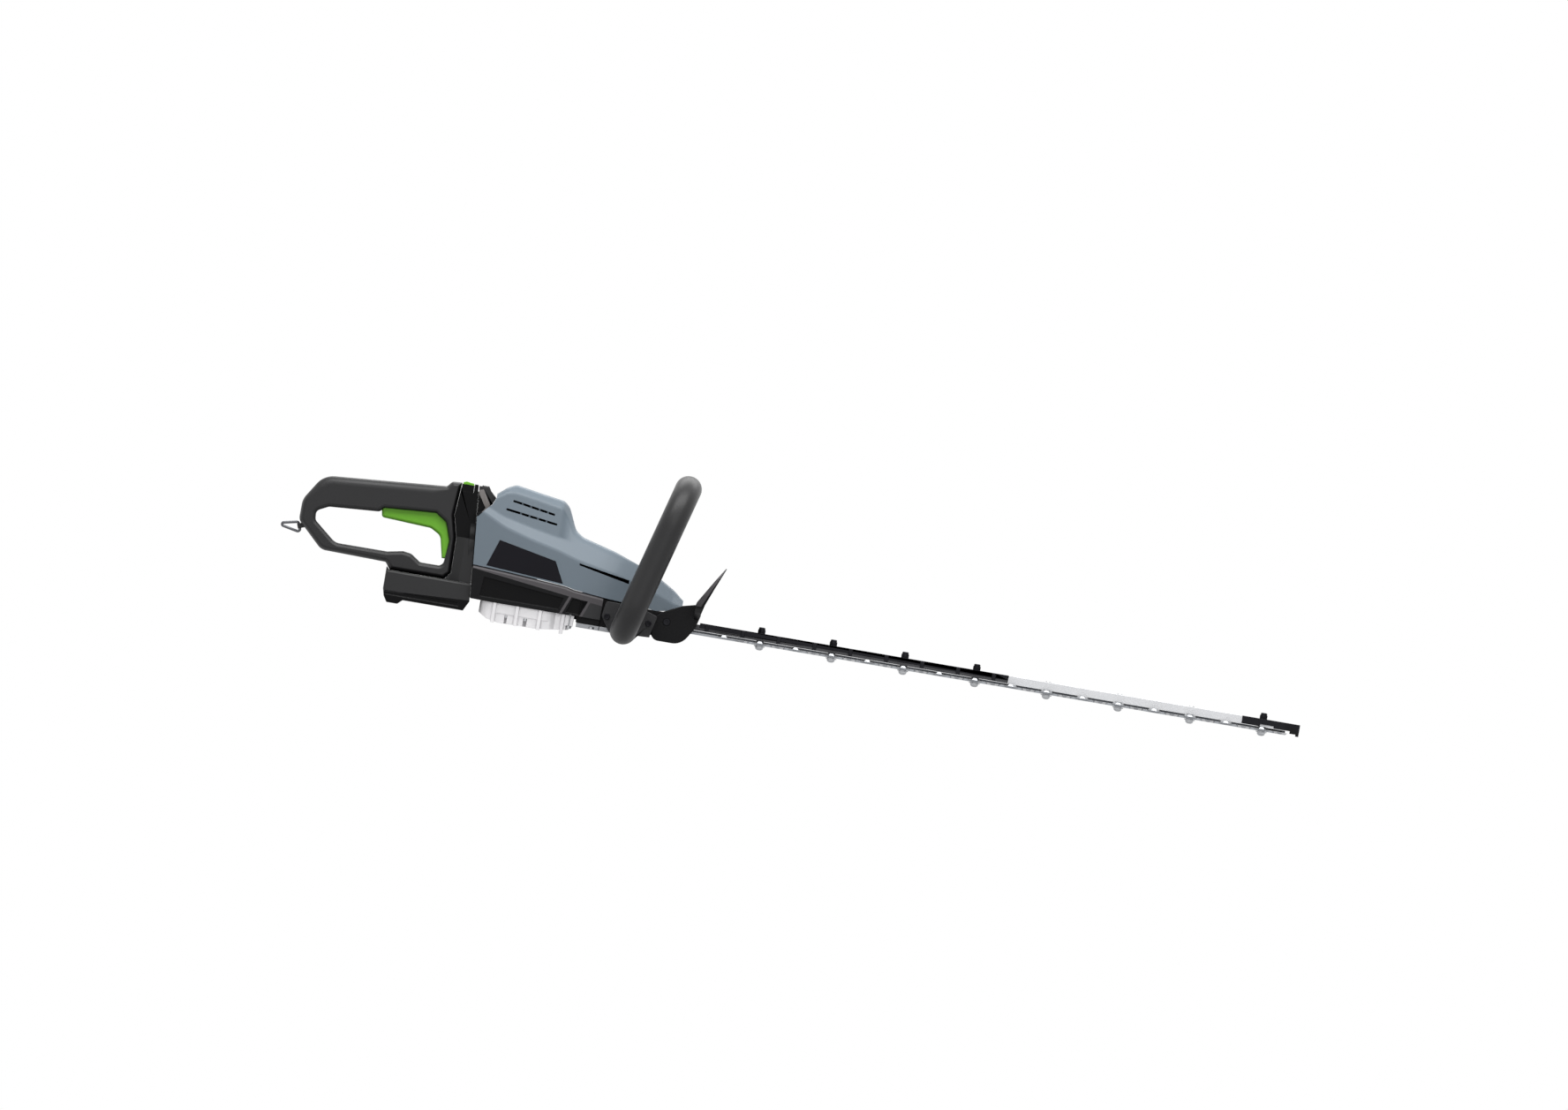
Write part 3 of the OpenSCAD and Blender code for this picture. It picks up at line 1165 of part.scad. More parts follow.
// Port under the handle that the backpack battery's adapter slides into
port_top = 0.27;
port_outline = [[-341, -20], [-339, -28], [-335, -34.5], [-323, -34.5], [-318, -29.8], [-240, -29.8],
                [-240, port_top], [-341, port_top]];
socket_z = [-25, -5];
module port_housing() color("#242426") difference() {
    union() {
        soft_slab(port_outline, port_w / 2, 3);
        slab([[-341, -1], [-337.2, -1], [-337.2, port_top], [-341, 4]], -12, 12);
    }
    in_swivel() block([-0.4, -90, -120], [120, 90, 120]);
    // cut away under the joint so that the handle swings clear
    slab([[-251.6, -40], [-251.6, -29], [-246, -18], [-240, -18], [-240, -40]], -60, 60);
    block([-350, -socket_w / 2, socket_z[0]], [-341 + socket_depth, socket_w / 2, socket_z[1]]);
    both_sides() block([-338, port_w / 2 - 1.4, -26], [-258, port_w / 2 + 5, -22]);
    // guide grooves for the adapter
    both_sides() block([-350, socket_w / 2 - 1, -17], [-341 + socket_depth - 6, socket_w / 2 + 3, -12]);
}
socket_end = -341 + socket_depth;
module terminal_block() color("#3a3c40")
    block([socket_end - 6, -socket_w / 2 + 3, socket_z[0] + 0.3],
          [socket_end, socket_w / 2 - 3, socket_z[1] - 3]);
module contact_blades() color("#c9b06a") for (i = [-1.5:1:1.5])
    block([socket_end - 24, 9 * i - 0.5, socket_z[0] + 5], [socket_end - 6, 9 * i + 0.5, socket_z[1] - 6]);

module hanging_ring() color("#9a9da0") {
    corners = [ring_high, ring_low, ring_tip];
    for (i = [0:2]) {
        a = corners[i];
        b = corners[(i + 1) % 3];
        d = unit(b - a);
        translate([a[0], 0, a[1]]) sphere(d = ring_wire + 0.06, $fn = 32);
        translate([a[0], 0, a[1]]) rotate([0, 90 + atan2(-d[1], d[0]), 0])
            cylinder(d = ring_wire, h = norm(b - a), $fn = 32);
    }
}

// ================= the trimmer =================
place() top_cover();
place() side_panels();
place() base_frame();
place() gear_case();
place() gear_cover();
place() swivel_collar();
place() motor_flange();
place() motor_screws();
place() motor_end_bracket();
place() motor_stator();
place() stator_coils();
place() motor_bearings();
place() crank_bearings();
place() controller();
place() nose_block();
place() bottom_plate();
place() guide_bar();
place() bar_cover();
place() tip_guard();
place() blade_bolts();
place() blade_nuts();
place() blade_bushes();
place() bar_screws();
place() hand_guard();
place() guard_screws();
place() loop_tube();
place() loop_grip();
place() loop_bracket();
place() loop_clamp_screws();
place() cover_screws();
place() gear_cover_screws();
place() motor_rotor();
place() motor_shaft();
place() cooling_fan();
place() crank_gear();
place() crank_shaft();
place() upper_rod();
place() upper_rod_pin();
place() lower_rod();
place() lower_rod_pin();
place() upper_blade();
place() lower_blade();
place() handle_half_right();
place() handle_half_left();
place() handle_screws();
place() swivel_neck();
place() spindle_ring();
place() port_housing();
place() terminal_block();
place() contact_blades();
place() switch_module();
place() trigger_pin();
place() trigger_spring();
place() trigger();
place() lock_button();
place() lock_spring();
place() hanging_ring();
place() release_button();
place() release_spring();
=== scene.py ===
# %% [markdown]
# # A cordless hedge trimmer
# This lesson dresses a finished CAD model. The CAD part is the frame: it says where every piece is and what
# it moves with. Each cell makes pieces or finishes of the real tool, and says why they are made that way.
# Three ways of making a mesh come back again and again: an outline carried across the tool with soft edges,
# a section carried along a path, and a profile turned round an axis. All of them are numpy grids.

# %% Load the frame
import json
import math

import bmesh
import bpy
import numpy as np
from mathutils import Matrix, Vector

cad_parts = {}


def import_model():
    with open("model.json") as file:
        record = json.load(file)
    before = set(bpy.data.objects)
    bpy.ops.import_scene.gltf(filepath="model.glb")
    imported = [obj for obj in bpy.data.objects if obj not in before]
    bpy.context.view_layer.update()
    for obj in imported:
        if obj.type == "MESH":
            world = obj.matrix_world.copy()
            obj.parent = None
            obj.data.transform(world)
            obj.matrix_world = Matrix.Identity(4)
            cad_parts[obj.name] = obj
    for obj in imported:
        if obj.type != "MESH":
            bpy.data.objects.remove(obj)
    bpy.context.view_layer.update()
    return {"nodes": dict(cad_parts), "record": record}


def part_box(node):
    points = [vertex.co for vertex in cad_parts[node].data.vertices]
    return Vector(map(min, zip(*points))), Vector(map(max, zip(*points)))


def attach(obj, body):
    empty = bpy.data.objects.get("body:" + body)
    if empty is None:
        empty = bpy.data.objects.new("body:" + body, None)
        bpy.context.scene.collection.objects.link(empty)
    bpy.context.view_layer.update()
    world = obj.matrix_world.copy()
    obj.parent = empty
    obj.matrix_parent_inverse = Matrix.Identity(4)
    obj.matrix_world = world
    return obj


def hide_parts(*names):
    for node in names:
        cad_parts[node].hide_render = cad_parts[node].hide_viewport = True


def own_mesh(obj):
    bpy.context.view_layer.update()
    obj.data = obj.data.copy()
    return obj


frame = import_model()

# %% [markdown]
# ## The maker's own axes
# A trimmer is drawn from its blade root: x forward along the blades, y to the user's left, z up from the
# top of the guide bar, all in millimetres. The model's metres could be used all along, but then no number
# would match a drawing. The crank shaft stands 169 mm behind the root, and the bar's top is at zero, so the
# boxes of these two pieces give the one shift between the drawing and the model.

# %% Tool axes
CRANK_BEHIND_ROOT = 0.169
crank_low, crank_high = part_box("crank_shaft")
bar_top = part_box("guide_bar")[1][2]
ORIGIN = np.array([(crank_low[0] + crank_high[0]) / 2 + CRANK_BEHIND_ROOT, 0.0, bar_top])
SIDES = (-1, 1)


def world(points):
    """Tool millimetres to model metres: a thousandth of the point, plus the origin."""
    return np.asarray(points, dtype=float) * 0.001 + ORIGIN


print("blade root, mm:", np.round(ORIGIN * 1000, 2))

# %% [markdown]
# ## Camera
# A catalogue view of a long tool is taken from far away, so that nothing on it shrinks with distance. A
# long lens would nearly do that, and an orthographic camera does it fully. It looks straight at the right
# side and is rolled until the blade points down by nearly ten degrees.

# %% Camera
ROLL = math.radians(9.67)
VIEW_WIDTH = 1.6925
VIEW_FROM = (-0.01845, -3, 0.1246)
camera_data = bpy.data.cameras.new("side_view")
camera_data.type = "ORTHO"
camera_data.ortho_scale = VIEW_WIDTH
camera_data.clip_end = 20
camera = bpy.data.objects.new("side_view", camera_data)
bpy.context.collection.objects.link(camera)
right = (math.cos(ROLL), 0, math.sin(ROLL))
up = (-math.sin(ROLL), 0, math.cos(ROLL))
back = (0, -1, 0)
camera.matrix_world = Matrix.Translation(VIEW_FROM) @ Matrix((right, up, back)).transposed().to_4x4()
bpy.context.scene.camera = camera
print("the view is", VIEW_WIDTH, "m wide")

# %% [markdown]
# ## Nodes
# A finish is a handful of facts: a colour, a gloss, a grain. In Blender each fact is a node. They could be
# wired by hand in the editor, but a script repeats them exactly, so one short function adds a node with its
# links. Colours are written as on a paint card, in sRGB hex, while light is added up in linear values.

# %% One function adds a node


def linear(code):
    """sRGB hex to linear light: c / 12.92 below 0.04045, else ((c + 0.055) / 1.055) to the power 2.4."""
    c = np.array([int(code[i:i + 2], 16) for i in (1, 3, 5)]) / 255
    return (*np.where(c <= 0.04045, c / 12.92, ((c + 0.055) / 1.055) ** 2.4), 1.0)


def add(tree, kind, inputs=None, **settings):
    """Adds a node and sets it up, then fills its sockets: a value is set, another node's output is linked."""
    node = tree.nodes.new(kind)
    for name, value in settings.items():
        setattr(node, name, value)
    for name, value in (inputs or {}).items():
        if isinstance(value, bpy.types.NodeSocket):
            tree.links.new(value, node.inputs[name])
        else:
            node.inputs[name].default_value = value
    return node


print("a mid grey in linear light:", np.round(linear("#808080"), 3))

# %% [markdown]
# ## Light and floor
# Black plastic shows its form only through reflections, so the studio has one large soft source overhead,
# which draws a long pale line on every rounded edge, and weak fills from the front and the back. The white
# all round could come from strong lamps, but they would wash out the colours. So the world and the floor
# are white only for rays from the camera, a mirror or glass, and what lights the tool is dimmer.

# %% Soft studio
WHITE = (1, 1, 1, 1)


def seen_rays(tree):
    """A socket that is 1 for rays from the camera, a mirror or glass: the largest of Light Path's answers."""
    ray = add(tree, "ShaderNodeLightPath").outputs
    indirect = add(tree, "ShaderNodeMath", {0: ray["Is Glossy Ray"], 1: ray["Is Transmission Ray"]},
                   operation="MAXIMUM")
    seen = add(tree, "ShaderNodeMath", {0: ray["Is Camera Ray"], 1: indirect.outputs[0]}, operation="MAXIMUM")
    return seen.outputs[0]


sky = bpy.data.worlds.new("studio_white")
sky.use_nodes = True
tree = sky.node_tree
tree.nodes.clear()
fill = add(tree, "ShaderNodeBackground", {"Color": WHITE, "Strength": 0.22})
white = add(tree, "ShaderNodeBackground", {"Color": WHITE, "Strength": 1.0})
both = add(tree, "ShaderNodeMixShader", {0: seen_rays(tree), 1: fill.outputs[0], 2: white.outputs[0]})
add(tree, "ShaderNodeOutputWorld", {"Surface": both.outputs[0]})
bpy.context.scene.world = sky
bpy.context.scene.view_settings.view_transform = "Standard"


def softbox(name, place, aim, size, watts):
    """An area lamp whose face looks from its place to the point it is aimed at."""
    data = bpy.data.lights.new(name, "AREA")
    data.shape, data.size, data.size_y, data.energy = "RECTANGLE", size[0], size[1], watts
    lamp = bpy.data.objects.new(name, data)
    bpy.context.collection.objects.link(lamp)
    z = np.array(place, float) - np.array(aim, float)
    z /= np.linalg.norm(z)
    x = np.cross((0, 1, 0), z)
    x /= np.linalg.norm(x)
    turn = Matrix((x.tolist(), np.cross(z, x).tolist(), z.tolist())).transposed().to_4x4()
    lamp.matrix_world = Matrix.Translation(place) @ turn
    return lamp


lamps = [softbox("overhead", (-0.1, -0.8, 1.85), (-0.05, 0, 0.1), (2.6, 1.1), 40),
         softbox("front_fill", (0.2, -2.4, 0.9), (0, 0, 0.1), (2.0, 1.0), 7),
         softbox("back_fill", (0.1, 1.5, 1.7), (0, 0, 0.1), (2.4, 1.0), 20)]

FLOOR_HALF = 4
floor_mesh = bpy.data.meshes.new("floor")
floor_corners = [(x * FLOOR_HALF, y * FLOOR_HALF, 0) for x, y in ((-1, -1), (1, -1), (1, 1), (-1, 1))]
floor_mesh.from_pydata(floor_corners, [], [(0, 1, 2, 3)])
floor_finish = bpy.data.materials.new("pale_seamless_paper")
floor_finish.use_nodes = True
tree = floor_finish.node_tree
tree.nodes.clear()
seen = seen_rays(tree)
paper = add(tree, "ShaderNodeMix", {0: seen, 6: linear("#8a8a8a"), 7: linear("#f4f4f5")}, data_type="RGBA")
matt = add(tree, "ShaderNodeBsdfDiffuse", {"Color": paper.outputs[2], "Roughness": 0.5})
glow = add(tree, "ShaderNodeEmission", {"Color": linear("#f7f7f8"), "Strength": 1.0})
share = add(tree, "ShaderNodeMath", {0: seen, 1: 0.62}, operation="MULTIPLY")
surface = add(tree, "ShaderNodeMixShader", {0: share.outputs[0], 1: matt.outputs[0], 2: glow.outputs[0]})
add(tree, "ShaderNodeOutputMaterial", {"Surface": surface.outputs[0]})
floor_mesh.materials.append(floor_finish)
studio_floor = bpy.data.objects.new("studio_floor", floor_mesh)
studio_floor.location.z = -0.0005
bpy.context.collection.objects.link(studio_floor)
print("lamps, W:", [lamp.data.energy for lamp in lamps])

# %% [markdown]
# ## Plastics
# Nearly all that the hand touches is moulded, and the mould's steel decides the skin: blasted steel leaves
# a pebble, polished steel leaves gloss. A flat colour would look like card, and a scanned sample would
# repeat, so each skin is worked out from noise. Object coordinates are in metres, so a pattern that repeats
# every s mm has the scale 1000 / s. The pebble is drawn a little coarser than life so that it shows.

# %% Moulded plastics


def start(name):
    """An empty node material and the Object coordinates that its patterns read."""
    material = bpy.data.materials.new(name)
    material.use_nodes = True
    material.node_tree.nodes.clear()
    return material, material.node_tree, add(material.node_tree, "ShaderNodeTexCoord").outputs["Object"]


def moulded(name, shade, worn, rough, grain_mm, depth_mm, cloud_mm=60.0, coat=0.0, specular=0.3):
    """Filled plastic from a textured mould: colour drifts from shade to worn in slow clouds, gloss drifts
    with it, and a noise of the grain's size lifts the surface by depth."""
    material, tree, place = start(name)
    cloud = add(tree, "ShaderNodeTexNoise", {"Vector": place, "Scale": 1000 / cloud_mm, "Detail": 4.0})
    grain = add(tree, "ShaderNodeTexNoise", {"Vector": place, "Scale": 1000 / grain_mm, "Detail": 2.0})
    colour = add(tree, "ShaderNodeMix", {0: cloud.outputs["Fac"], 6: linear(shade), 7: linear(worn)},
                 data_type="RGBA")
    gloss = add(tree, "ShaderNodeMapRange", {"Value": cloud.outputs["Fac"], "From Min": 0.3, "From Max": 0.7,
                                             "To Min": rough - 0.05, "To Max": rough + 0.06})
    bump = add(tree, "ShaderNodeBump", {"Height": grain.outputs["Fac"], "Strength": 0.6,
                                        "Distance": depth_mm / 1000})
    shader = add(tree, "ShaderNodeBsdfPrincipled", {
        "Base Color": colour.outputs[2], "Roughness": gloss.outputs[0], "Normal": bump.outputs[0], "IOR": 1.5,
        "Specular IOR Level": specular, "Coat Weight": coat, "Coat Roughness": 0.08})
    add(tree, "ShaderNodeOutputMaterial", {"Surface": shader.outputs[0]})
    return material


FINISH = {
    # ABS, sprayed and clear-coated: an even satin, so each bevel of the shell shows as one flat tone
    "housing_grey": moulded("satin_painted_abs_shell", "#7b8893", "#828f9a", 0.42, 1.2, 0.01, 90, 0.1),
    # nylon with glass fibre from blasted moulds: the soft pebble spreads each highlight into a grey band
    "charcoal": moulded("pebbled_charcoal_nylon", "#0f0f11", "#151517", 0.44, 0.9, 0.05, specular=0.45),
    "bracket_grey": moulded("dark_grey_nylon", "#262628", "#2c2c2e", 0.44, 0.9, 0.04, specular=0.4),
    "black_plastic": moulded("black_glass_filled_nylon", "#0d0d0e", "#131315", 0.42, 0.8, 0.04,
                             specular=0.15),
    # painted shade: a near-black gloss for recesses, grooves and slits, with small sharp lights on the edges
    # only
    "neck_black": moulded("gloss_black_painted_shade", "#060607", "#0a0a0c", 0.26, 2.0, 0.01, specular=0.12),
    "panel_black": moulded("blank_dark_name_panel", "#15141a", "#18171e", 0.36, 1.5, 0.01, specular=0.12),
    # dyed in the mass, bright enough for a gloved hand to find
    "green": moulded("bright_green_moulding", "#80cf3c", "#88d843", 0.36, 1.0, 0.02),
    # a satin grey for the frame's ledge, also a painted highlight on the shield's rim; a pale painted
    # highlight on each collar ear's lit strip
    "grey_trim_and_rim_highlight": moulded("satin_grey_trim_and_painted_rim_highlight", "#575457", "#605d60", 0.4, 1.2, 0.01),
    "ear_strip": moulded("pale_ear_strip", "#8f8a88", "#989390", 0.4, 1.2, 0.01),
    # near-black plates behind the slots, painted shade: drawn coarser than life, they give back almost no
    # light
    "slot_shade": moulded("black_plate_painted_slot_shade", "#08080a", "#101012", 0.8, 1.6, 0.2, specular=0.05)}
print("plastics:", len(FINISH))

# %% [markdown]
# ## Rubber
# The front grip is rubber moulded over a tube. It could wear the nylon's finish, but rubber drinks light:
# its grain is softer and wider, dust clings to it in patches, and a sheen from the skin's tiny upright
# fibres gives it a grey bloom at grazing angles. So it gets its own nodes.

# %% Rubber
rubber, tree, place = start("moulded_grip_rubber")
skin_grain = add(tree, "ShaderNodeTexNoise", {"Vector": place, "Scale": 1000 / 1.4, "Detail": 3.0})
dust = add(tree, "ShaderNodeTexNoise", {"Vector": place, "Scale": 1000 / 35, "Detail": 5.0})
tone = add(tree, "ShaderNodeMix", {0: dust.outputs["Fac"], 6: linear("#0d0d0f"), 7: linear("#131315")},
           data_type="RGBA")
pebble = add(tree, "ShaderNodeBump", {"Height": skin_grain.outputs["Fac"], "Strength": 0.5,
                                      "Distance": 0.00006})
rubber_skin = add(tree, "ShaderNodeBsdfPrincipled", {
    "Base Color": tone.outputs[2], "Roughness": 0.42, "Sheen Weight": 0.1, "Sheen Roughness": 0.5,
    "Specular IOR Level": 0.45, "Normal": pebble.outputs[0]})
add(tree, "ShaderNodeOutputMaterial", {"Surface": rubber_skin.outputs[0]})
FINISH["rubber"] = rubber
print("rubber nodes:", len(tree.nodes))

# %% [markdown]
# ## Metals
# Three things part the metals: the colour of the metal, how polished it is, and the marks of the tool that
# cut it. Grinding and drawing leave parallel lines, casting a round pebble, turning and plating almost
# nothing. An anisotropic shader could stretch the highlight, but its lines would not show close up. So one
# noise is stretched along the feed, and it drives the gloss and a fine bump.

# %% Metals


def metal(name, shade, dark, rough, mark_mm, stretch, depth_mm, coat=0.0):
    """Bare metal: noise of the mark's size, its scale divided along the feed, drives roughness and a fine
    bump, and slow stains drift from shade to dark."""
    material, tree, place = start(name)
    feed = add(tree, "ShaderNodeMapping", {"Vector": place, "Scale": stretch})
    marks = add(tree, "ShaderNodeTexNoise", {"Vector": feed.outputs[0], "Scale": 1000 / mark_mm,
                                             "Detail": 3.0})
    stain = add(tree, "ShaderNodeTexNoise", {"Vector": place, "Scale": 1000 / 25, "Detail": 4.0})
    colour = add(tree, "ShaderNodeMix", {0: stain.outputs["Fac"], 6: linear(shade), 7: linear(dark)},
                 data_type="RGBA")
    gloss = add(tree, "ShaderNodeMapRange", {"Value": marks.outputs["Fac"], "From Min": 0.3, "From Max": 0.7,
                                             "To Min": rough - 0.06, "To Max": rough + 0.08})
    bump = add(tree, "ShaderNodeBump", {"Height": marks.outputs["Fac"], "Strength": 0.5,
                                        "Distance": depth_mm / 1000})
    shader = add(tree, "ShaderNodeBsdfPrincipled", {
        "Base Color": colour.outputs[2], "Metallic": 1.0, "Roughness": gloss.outputs[0],
        "Normal": bump.outputs[0], "Coat Weight": coat})
    add(tree, "ShaderNodeOutputMaterial", {"Surface": shader.outputs[0]})
    return material


EVEN = (1, 1, 1)
METALS = {
    # blasted die castings: a dull pebble that looks the same from all sides
    "cast": ("bare_die_cast_aluminium", "#e6e5e6", "#d2d1d3", 0.5, 1.2, EVEN, 0.06),
    "case_cast": ("dark_die_casting", "#66686b", "#54565a", 0.55, 1.2, EVEN, 0.06),
    # turned and milled stock: fine feed lines and a soft streak of light across them
    "motor_cast": ("machined_aluminium", "#a5a7aa", "#8f9194", 0.35, 0.6, (1, 1, 0.2), 0.02),
    "forged_steel": ("machined_gear_steel", "#909296", "#7b7d81", 0.35, 0.5, (1, 1, 0.2), 0.02),
    "bearing_steel": ("ground_bearing_steel", "#c9cbce", "#b5b8bc", 0.2, 0.3, (1, 1, 0.1), 0.005),
    # lacquered motor iron and wire: the stack's edges and the copper gleam through a clear skin
    "lamination": ("lacquered_laminations", "#6a6d72", "#55585c", 0.45, 0.5, (0.05, 0.05, 1), 0.02, 0.3),
    "copper": ("enamelled_copper_wire", "#c4713a", "#a45a2c", 0.3, 0.7, (1, 1, 3), 0.02, 0.4),
    # plated and blackened fasteners: smooth, with clean small lights
    "zinc_steel": ("zinc_plated_steel", "#c8cacc", "#b3b5b7", 0.3, 0.8, EVEN, 0.01),
    "black_steel": ("black_oxide_steel", "#2a2a2d", "#1e1e21", 0.38, 0.6, EVEN, 0.02),
    "contact": ("plated_contact_metal", "#cdb26a", "#b89c55", 0.25, 0.5, EVEN, 0.005),
    "wire": ("bright_spring_wire", "#68696c", "#57585b", 0.3, 0.4, EVEN, 0.005),
    # blade steel: rolled dark along its length, bright where a wheel has ground the teeth across
    "blade_dark": ("oiled_dark_blade_steel", "#4a4c50", "#36383b", 0.3, 0.35, (0.04, 1, 1), 0.01),
    "blade_bright": ("ground_blade_steel", "#a7aaae", "#8e9195", 0.28, 0.35, (0.04, 1, 1), 0.01),
    "edge": ("freshly_ground_edge", "#a2a4a7", "#838588", 0.28, 0.3, (1, 0.1, 1), 0.006),
    # extruded and drawn aluminium: long faint lines, bare, and a darker copy that paints shade on the bar's
    # near half
    "bar_painted_shade": ("aluminium_with_painted_shade", "#4e4e50", "#434345", 0.35, 0.5, (0.03, 1, 1), 0.01),
    "bar_alu": ("extruded_aluminium", "#d3d4d6", "#c6c7c9", 0.32, 0.5, (0.03, 1, 1), 0.01),
    "tube_alu": ("drawn_aluminium_tube", "#a9abae", "#94969a", 0.35, 0.5, (1, 1, 0.05), 0.01),
    "controller": ("blue_anodised_heat_sink", "#2c4468", "#243a5c", 0.4, 0.6, (0.05, 1, 1), 0.01)}
FINISH.update({slot: metal(*traits) for slot, traits in METALS.items()})
print("finishes:", len(FINISH))

# %% [markdown]
# ## Carrying the CAD pieces over
# Most rigid pieces have the right shape already, but a CAD solid has edges sharper than any mould can make.
# They could be modelled again, or a shader could fake the radius without changing the mesh. A soft copy
# does it in the mesh: it merges the loose triangles, dissolves the flat ones and rounds every edge by half
# a millimetre or so. That small radius is what catches the light along a moulding.

# %% Soft copies
BODY_OF = {node: body for body, nodes in frame["record"]["behaviour"]["bodies"].items() for node in nodes}
SLOT_OF = {part["node"]: part["material_slot"] for part in frame["record"]["subparts"]}


def settle(piece, node, finishes=None, angle=32):
    """Last steps of any piece: the finish of the node that it goes with, faces smoothed across edges flatter
    than angle, and the node's body."""
    mesh = piece.data
    mesh.materials.clear()
    for finish in finishes or [FINISH[SLOT_OF[node]]]:
        mesh.materials.append(finish)
    mesh.polygons.foreach_set("use_smooth", np.ones(len(mesh.polygons), bool))
    mesh.set_sharp_from_angle(angle=math.radians(angle))
    piece.modifiers.new("flat_faces_stay_flat", "WEIGHTED_NORMAL").keep_sharp = True
    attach(piece, BODY_OF[node])
    return piece


def fit(piece, node, finishes=None, angle=32):
    """Settles a piece and lets it stand for its node."""
    settle(piece, node, finishes, angle)
    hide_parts(node)
    return piece


def round_edges(piece, width, segments=2, angle=32, clamp=False):
    """Rounds the edges that turn by more than angle, by width in millimetres."""
    edge = piece.modifiers.new("mould_radius", "BEVEL")
    edge.width = width / 1000
    edge.segments = segments
    edge.limit_method = "ANGLE"
    edge.angle_limit = math.radians(angle)
    edge.use_clamp_overlap = clamp
    return piece


def new_piece(name, mesh):
    """An object for a mesh, at the origin, in the scene."""
    piece = bpy.data.objects.new(name, mesh)
    bpy.context.collection.objects.link(piece)
    return piece


def merged_copy(node, name):
    """A copy of a CAD node's triangles with shared points merged and flat triangles dissolved."""
    work = bmesh.new()
    work.from_mesh(frame["nodes"][node].data)
    bmesh.ops.remove_doubles(work, verts=work.verts, dist=2e-6)
    bmesh.ops.dissolve_limit(work, angle_limit=math.radians(0.6), verts=work.verts, edges=work.edges)
    mesh = bpy.data.meshes.new(name)
    work.to_mesh(mesh)
    work.free()
    return new_piece(name, mesh)


def soften(node, width, finishes=None):
    """The node's merged copy with its edges rounded by width, in millimetres, standing for the node."""
    return fit(round_edges(merged_copy(node, "soft_" + node), width), node, finishes)


OUTER_RADII = {"side_panels": 0.2, "gear_case": 0.6, "nose_block": 0.6, "bottom_plate": 0.5, "bar_cover": 0.3,
               "tip_guard": 0.1, "terminal_block": 0.3, "contact_blades": 0.1, "lock_button": 0.5,
               "release_button": 0.4}
for node, width in OUTER_RADII.items():
    soften(node, width)
print("soft copies:", len(OUTER_RADII))

# %% [markdown]
# ## Mouldings with more than one finish
# The frame, the neck, the collar and the port each show two or more skins, and some of them are painted light
# and shade. A near-black gloss paints the shade in the neck's recess, on the frame's recess floors and in the
# groove along the port's foot, a pale strip paints the light on each collar ear's lit face, and the bar's
# near half is painted dark for the shade under its cover. Painted masks would need an unwrapped map. Here the
# copy is scored along the border, which changes no shape, and each face takes its finish from where its
# middle lies and which way it looks.

# %% Pieces with two or more finishes


def score(piece, lines):
    """Cuts the piece's faces along planes across the tool: each line is two points (x, z) of a side view."""
    work = bmesh.new()
    work.from_mesh(piece.data)
    for (x0, z0), (x1, z1) in lines:
        bmesh.ops.bisect_plane(work, geom=work.verts[:] + work.edges[:] + work.faces[:], dist=1e-7,
                               plane_co=world((x0, 0, z0)), plane_no=(z1 - z0, 0, x0 - x1))
    work.to_mesh(piece.data)
    work.free()


def zones(piece, rule):
    """Material numbers from rule(x, y, z, facing): the faces' middles in tool millimetres, with y the same on
    both sides, and how squarely each face looks along x, y and z, from 0 to 1. Counts the faces in each."""
    count = len(piece.data.polygons)
    middles, normals = np.empty(count * 3), np.empty(count * 3)
    piece.data.polygons.foreach_get("center", middles)
    piece.data.polygons.foreach_get("normal", normals)
    x, y, z = ((middles.reshape(-1, 3) - ORIGIN) * 1000).T
    numbers = rule(x, np.abs(y), z, np.abs(normals.reshape(-1, 3).T)).astype(np.int32)
    piece.data.polygons.foreach_set("material_index", numbers)
    return np.bincount(numbers).tolist()


def left_of(x, z, line):
    """True on the left of a line of the side view: (x1 - x0)(z - z0) is more than (z1 - z0)(x - x0)."""
    (x0, z0), (x1, z1) = line
    return (x1 - x0) * (z - z0) > (z1 - z0) * (x - x0)


LEDGE = ((-243, 17), (-122, 2.2))
REAR_POST = (((-142.4, 2), (-148.4, -13)), ((-139.4, 2), (-145.4, -13)))
FRONT_POST = (((-120.6, 2), (-127, -14)), ((-117.4, 2), (-123.8, -14)))
RECESS_FLOOR, RECESS_END = 38.6, -121
SIDE_WALL = 36.4
JOINT_TOP = 47.6
EAR_FOOT, EAR_SIDE = 82.5, 14.5
BAR_COVER_END = 341
PORT_LINE = ((-340, -23.2), (-247, -18.1))


def frame_rule(x, y, z, facing):
    """0 as moulded, 1 near-black painted shade on the recess floors, 2 grey above the ledge line and on the
    posts, 3 grey in front.
    """
    post = np.any([left_of(x, z, rear) & ~left_of(x, z, front) for rear, front in (REAR_POST, FRONT_POST)], 0)
    outer = (facing[1] > 0.3) & (y > SIDE_WALL)
    # the recess floors take the near-black painted shade
    floor = (facing[1] > 0.7) & (y < RECESS_FLOOR) & (x < RECESS_END)
    trim = outer & ~floor & (left_of(x, z, LEDGE) | post)
    return np.select([trim, outer & (x > -123) & (z < 5), floor], [2, 3, 1], 0)


def collar_rule(x, y, z, facing):
    """0 the ring, 1 the pale strip on each ear's side, a painted highlight of its lit face, 2 the rest of the
    ears.
    """
    ear = z > EAR_FOOT
    return np.select([ear & (y > EAR_SIDE) & (facing[1] > 0.7), ear], [1, 2], 0)


# a near-black gloss that paints the shade in recesses, grooves and slits
black, shade_black = FINISH["black_plastic"], FINISH["neck_black"]
base = soften("base_frame", 0.5, [black, shade_black, FINISH["grey_trim_and_rim_highlight"], FINISH["bracket_grey"]])
score(base, [LEDGE, *REAR_POST, *FRONT_POST])
print("frame:", zones(base, frame_rule))
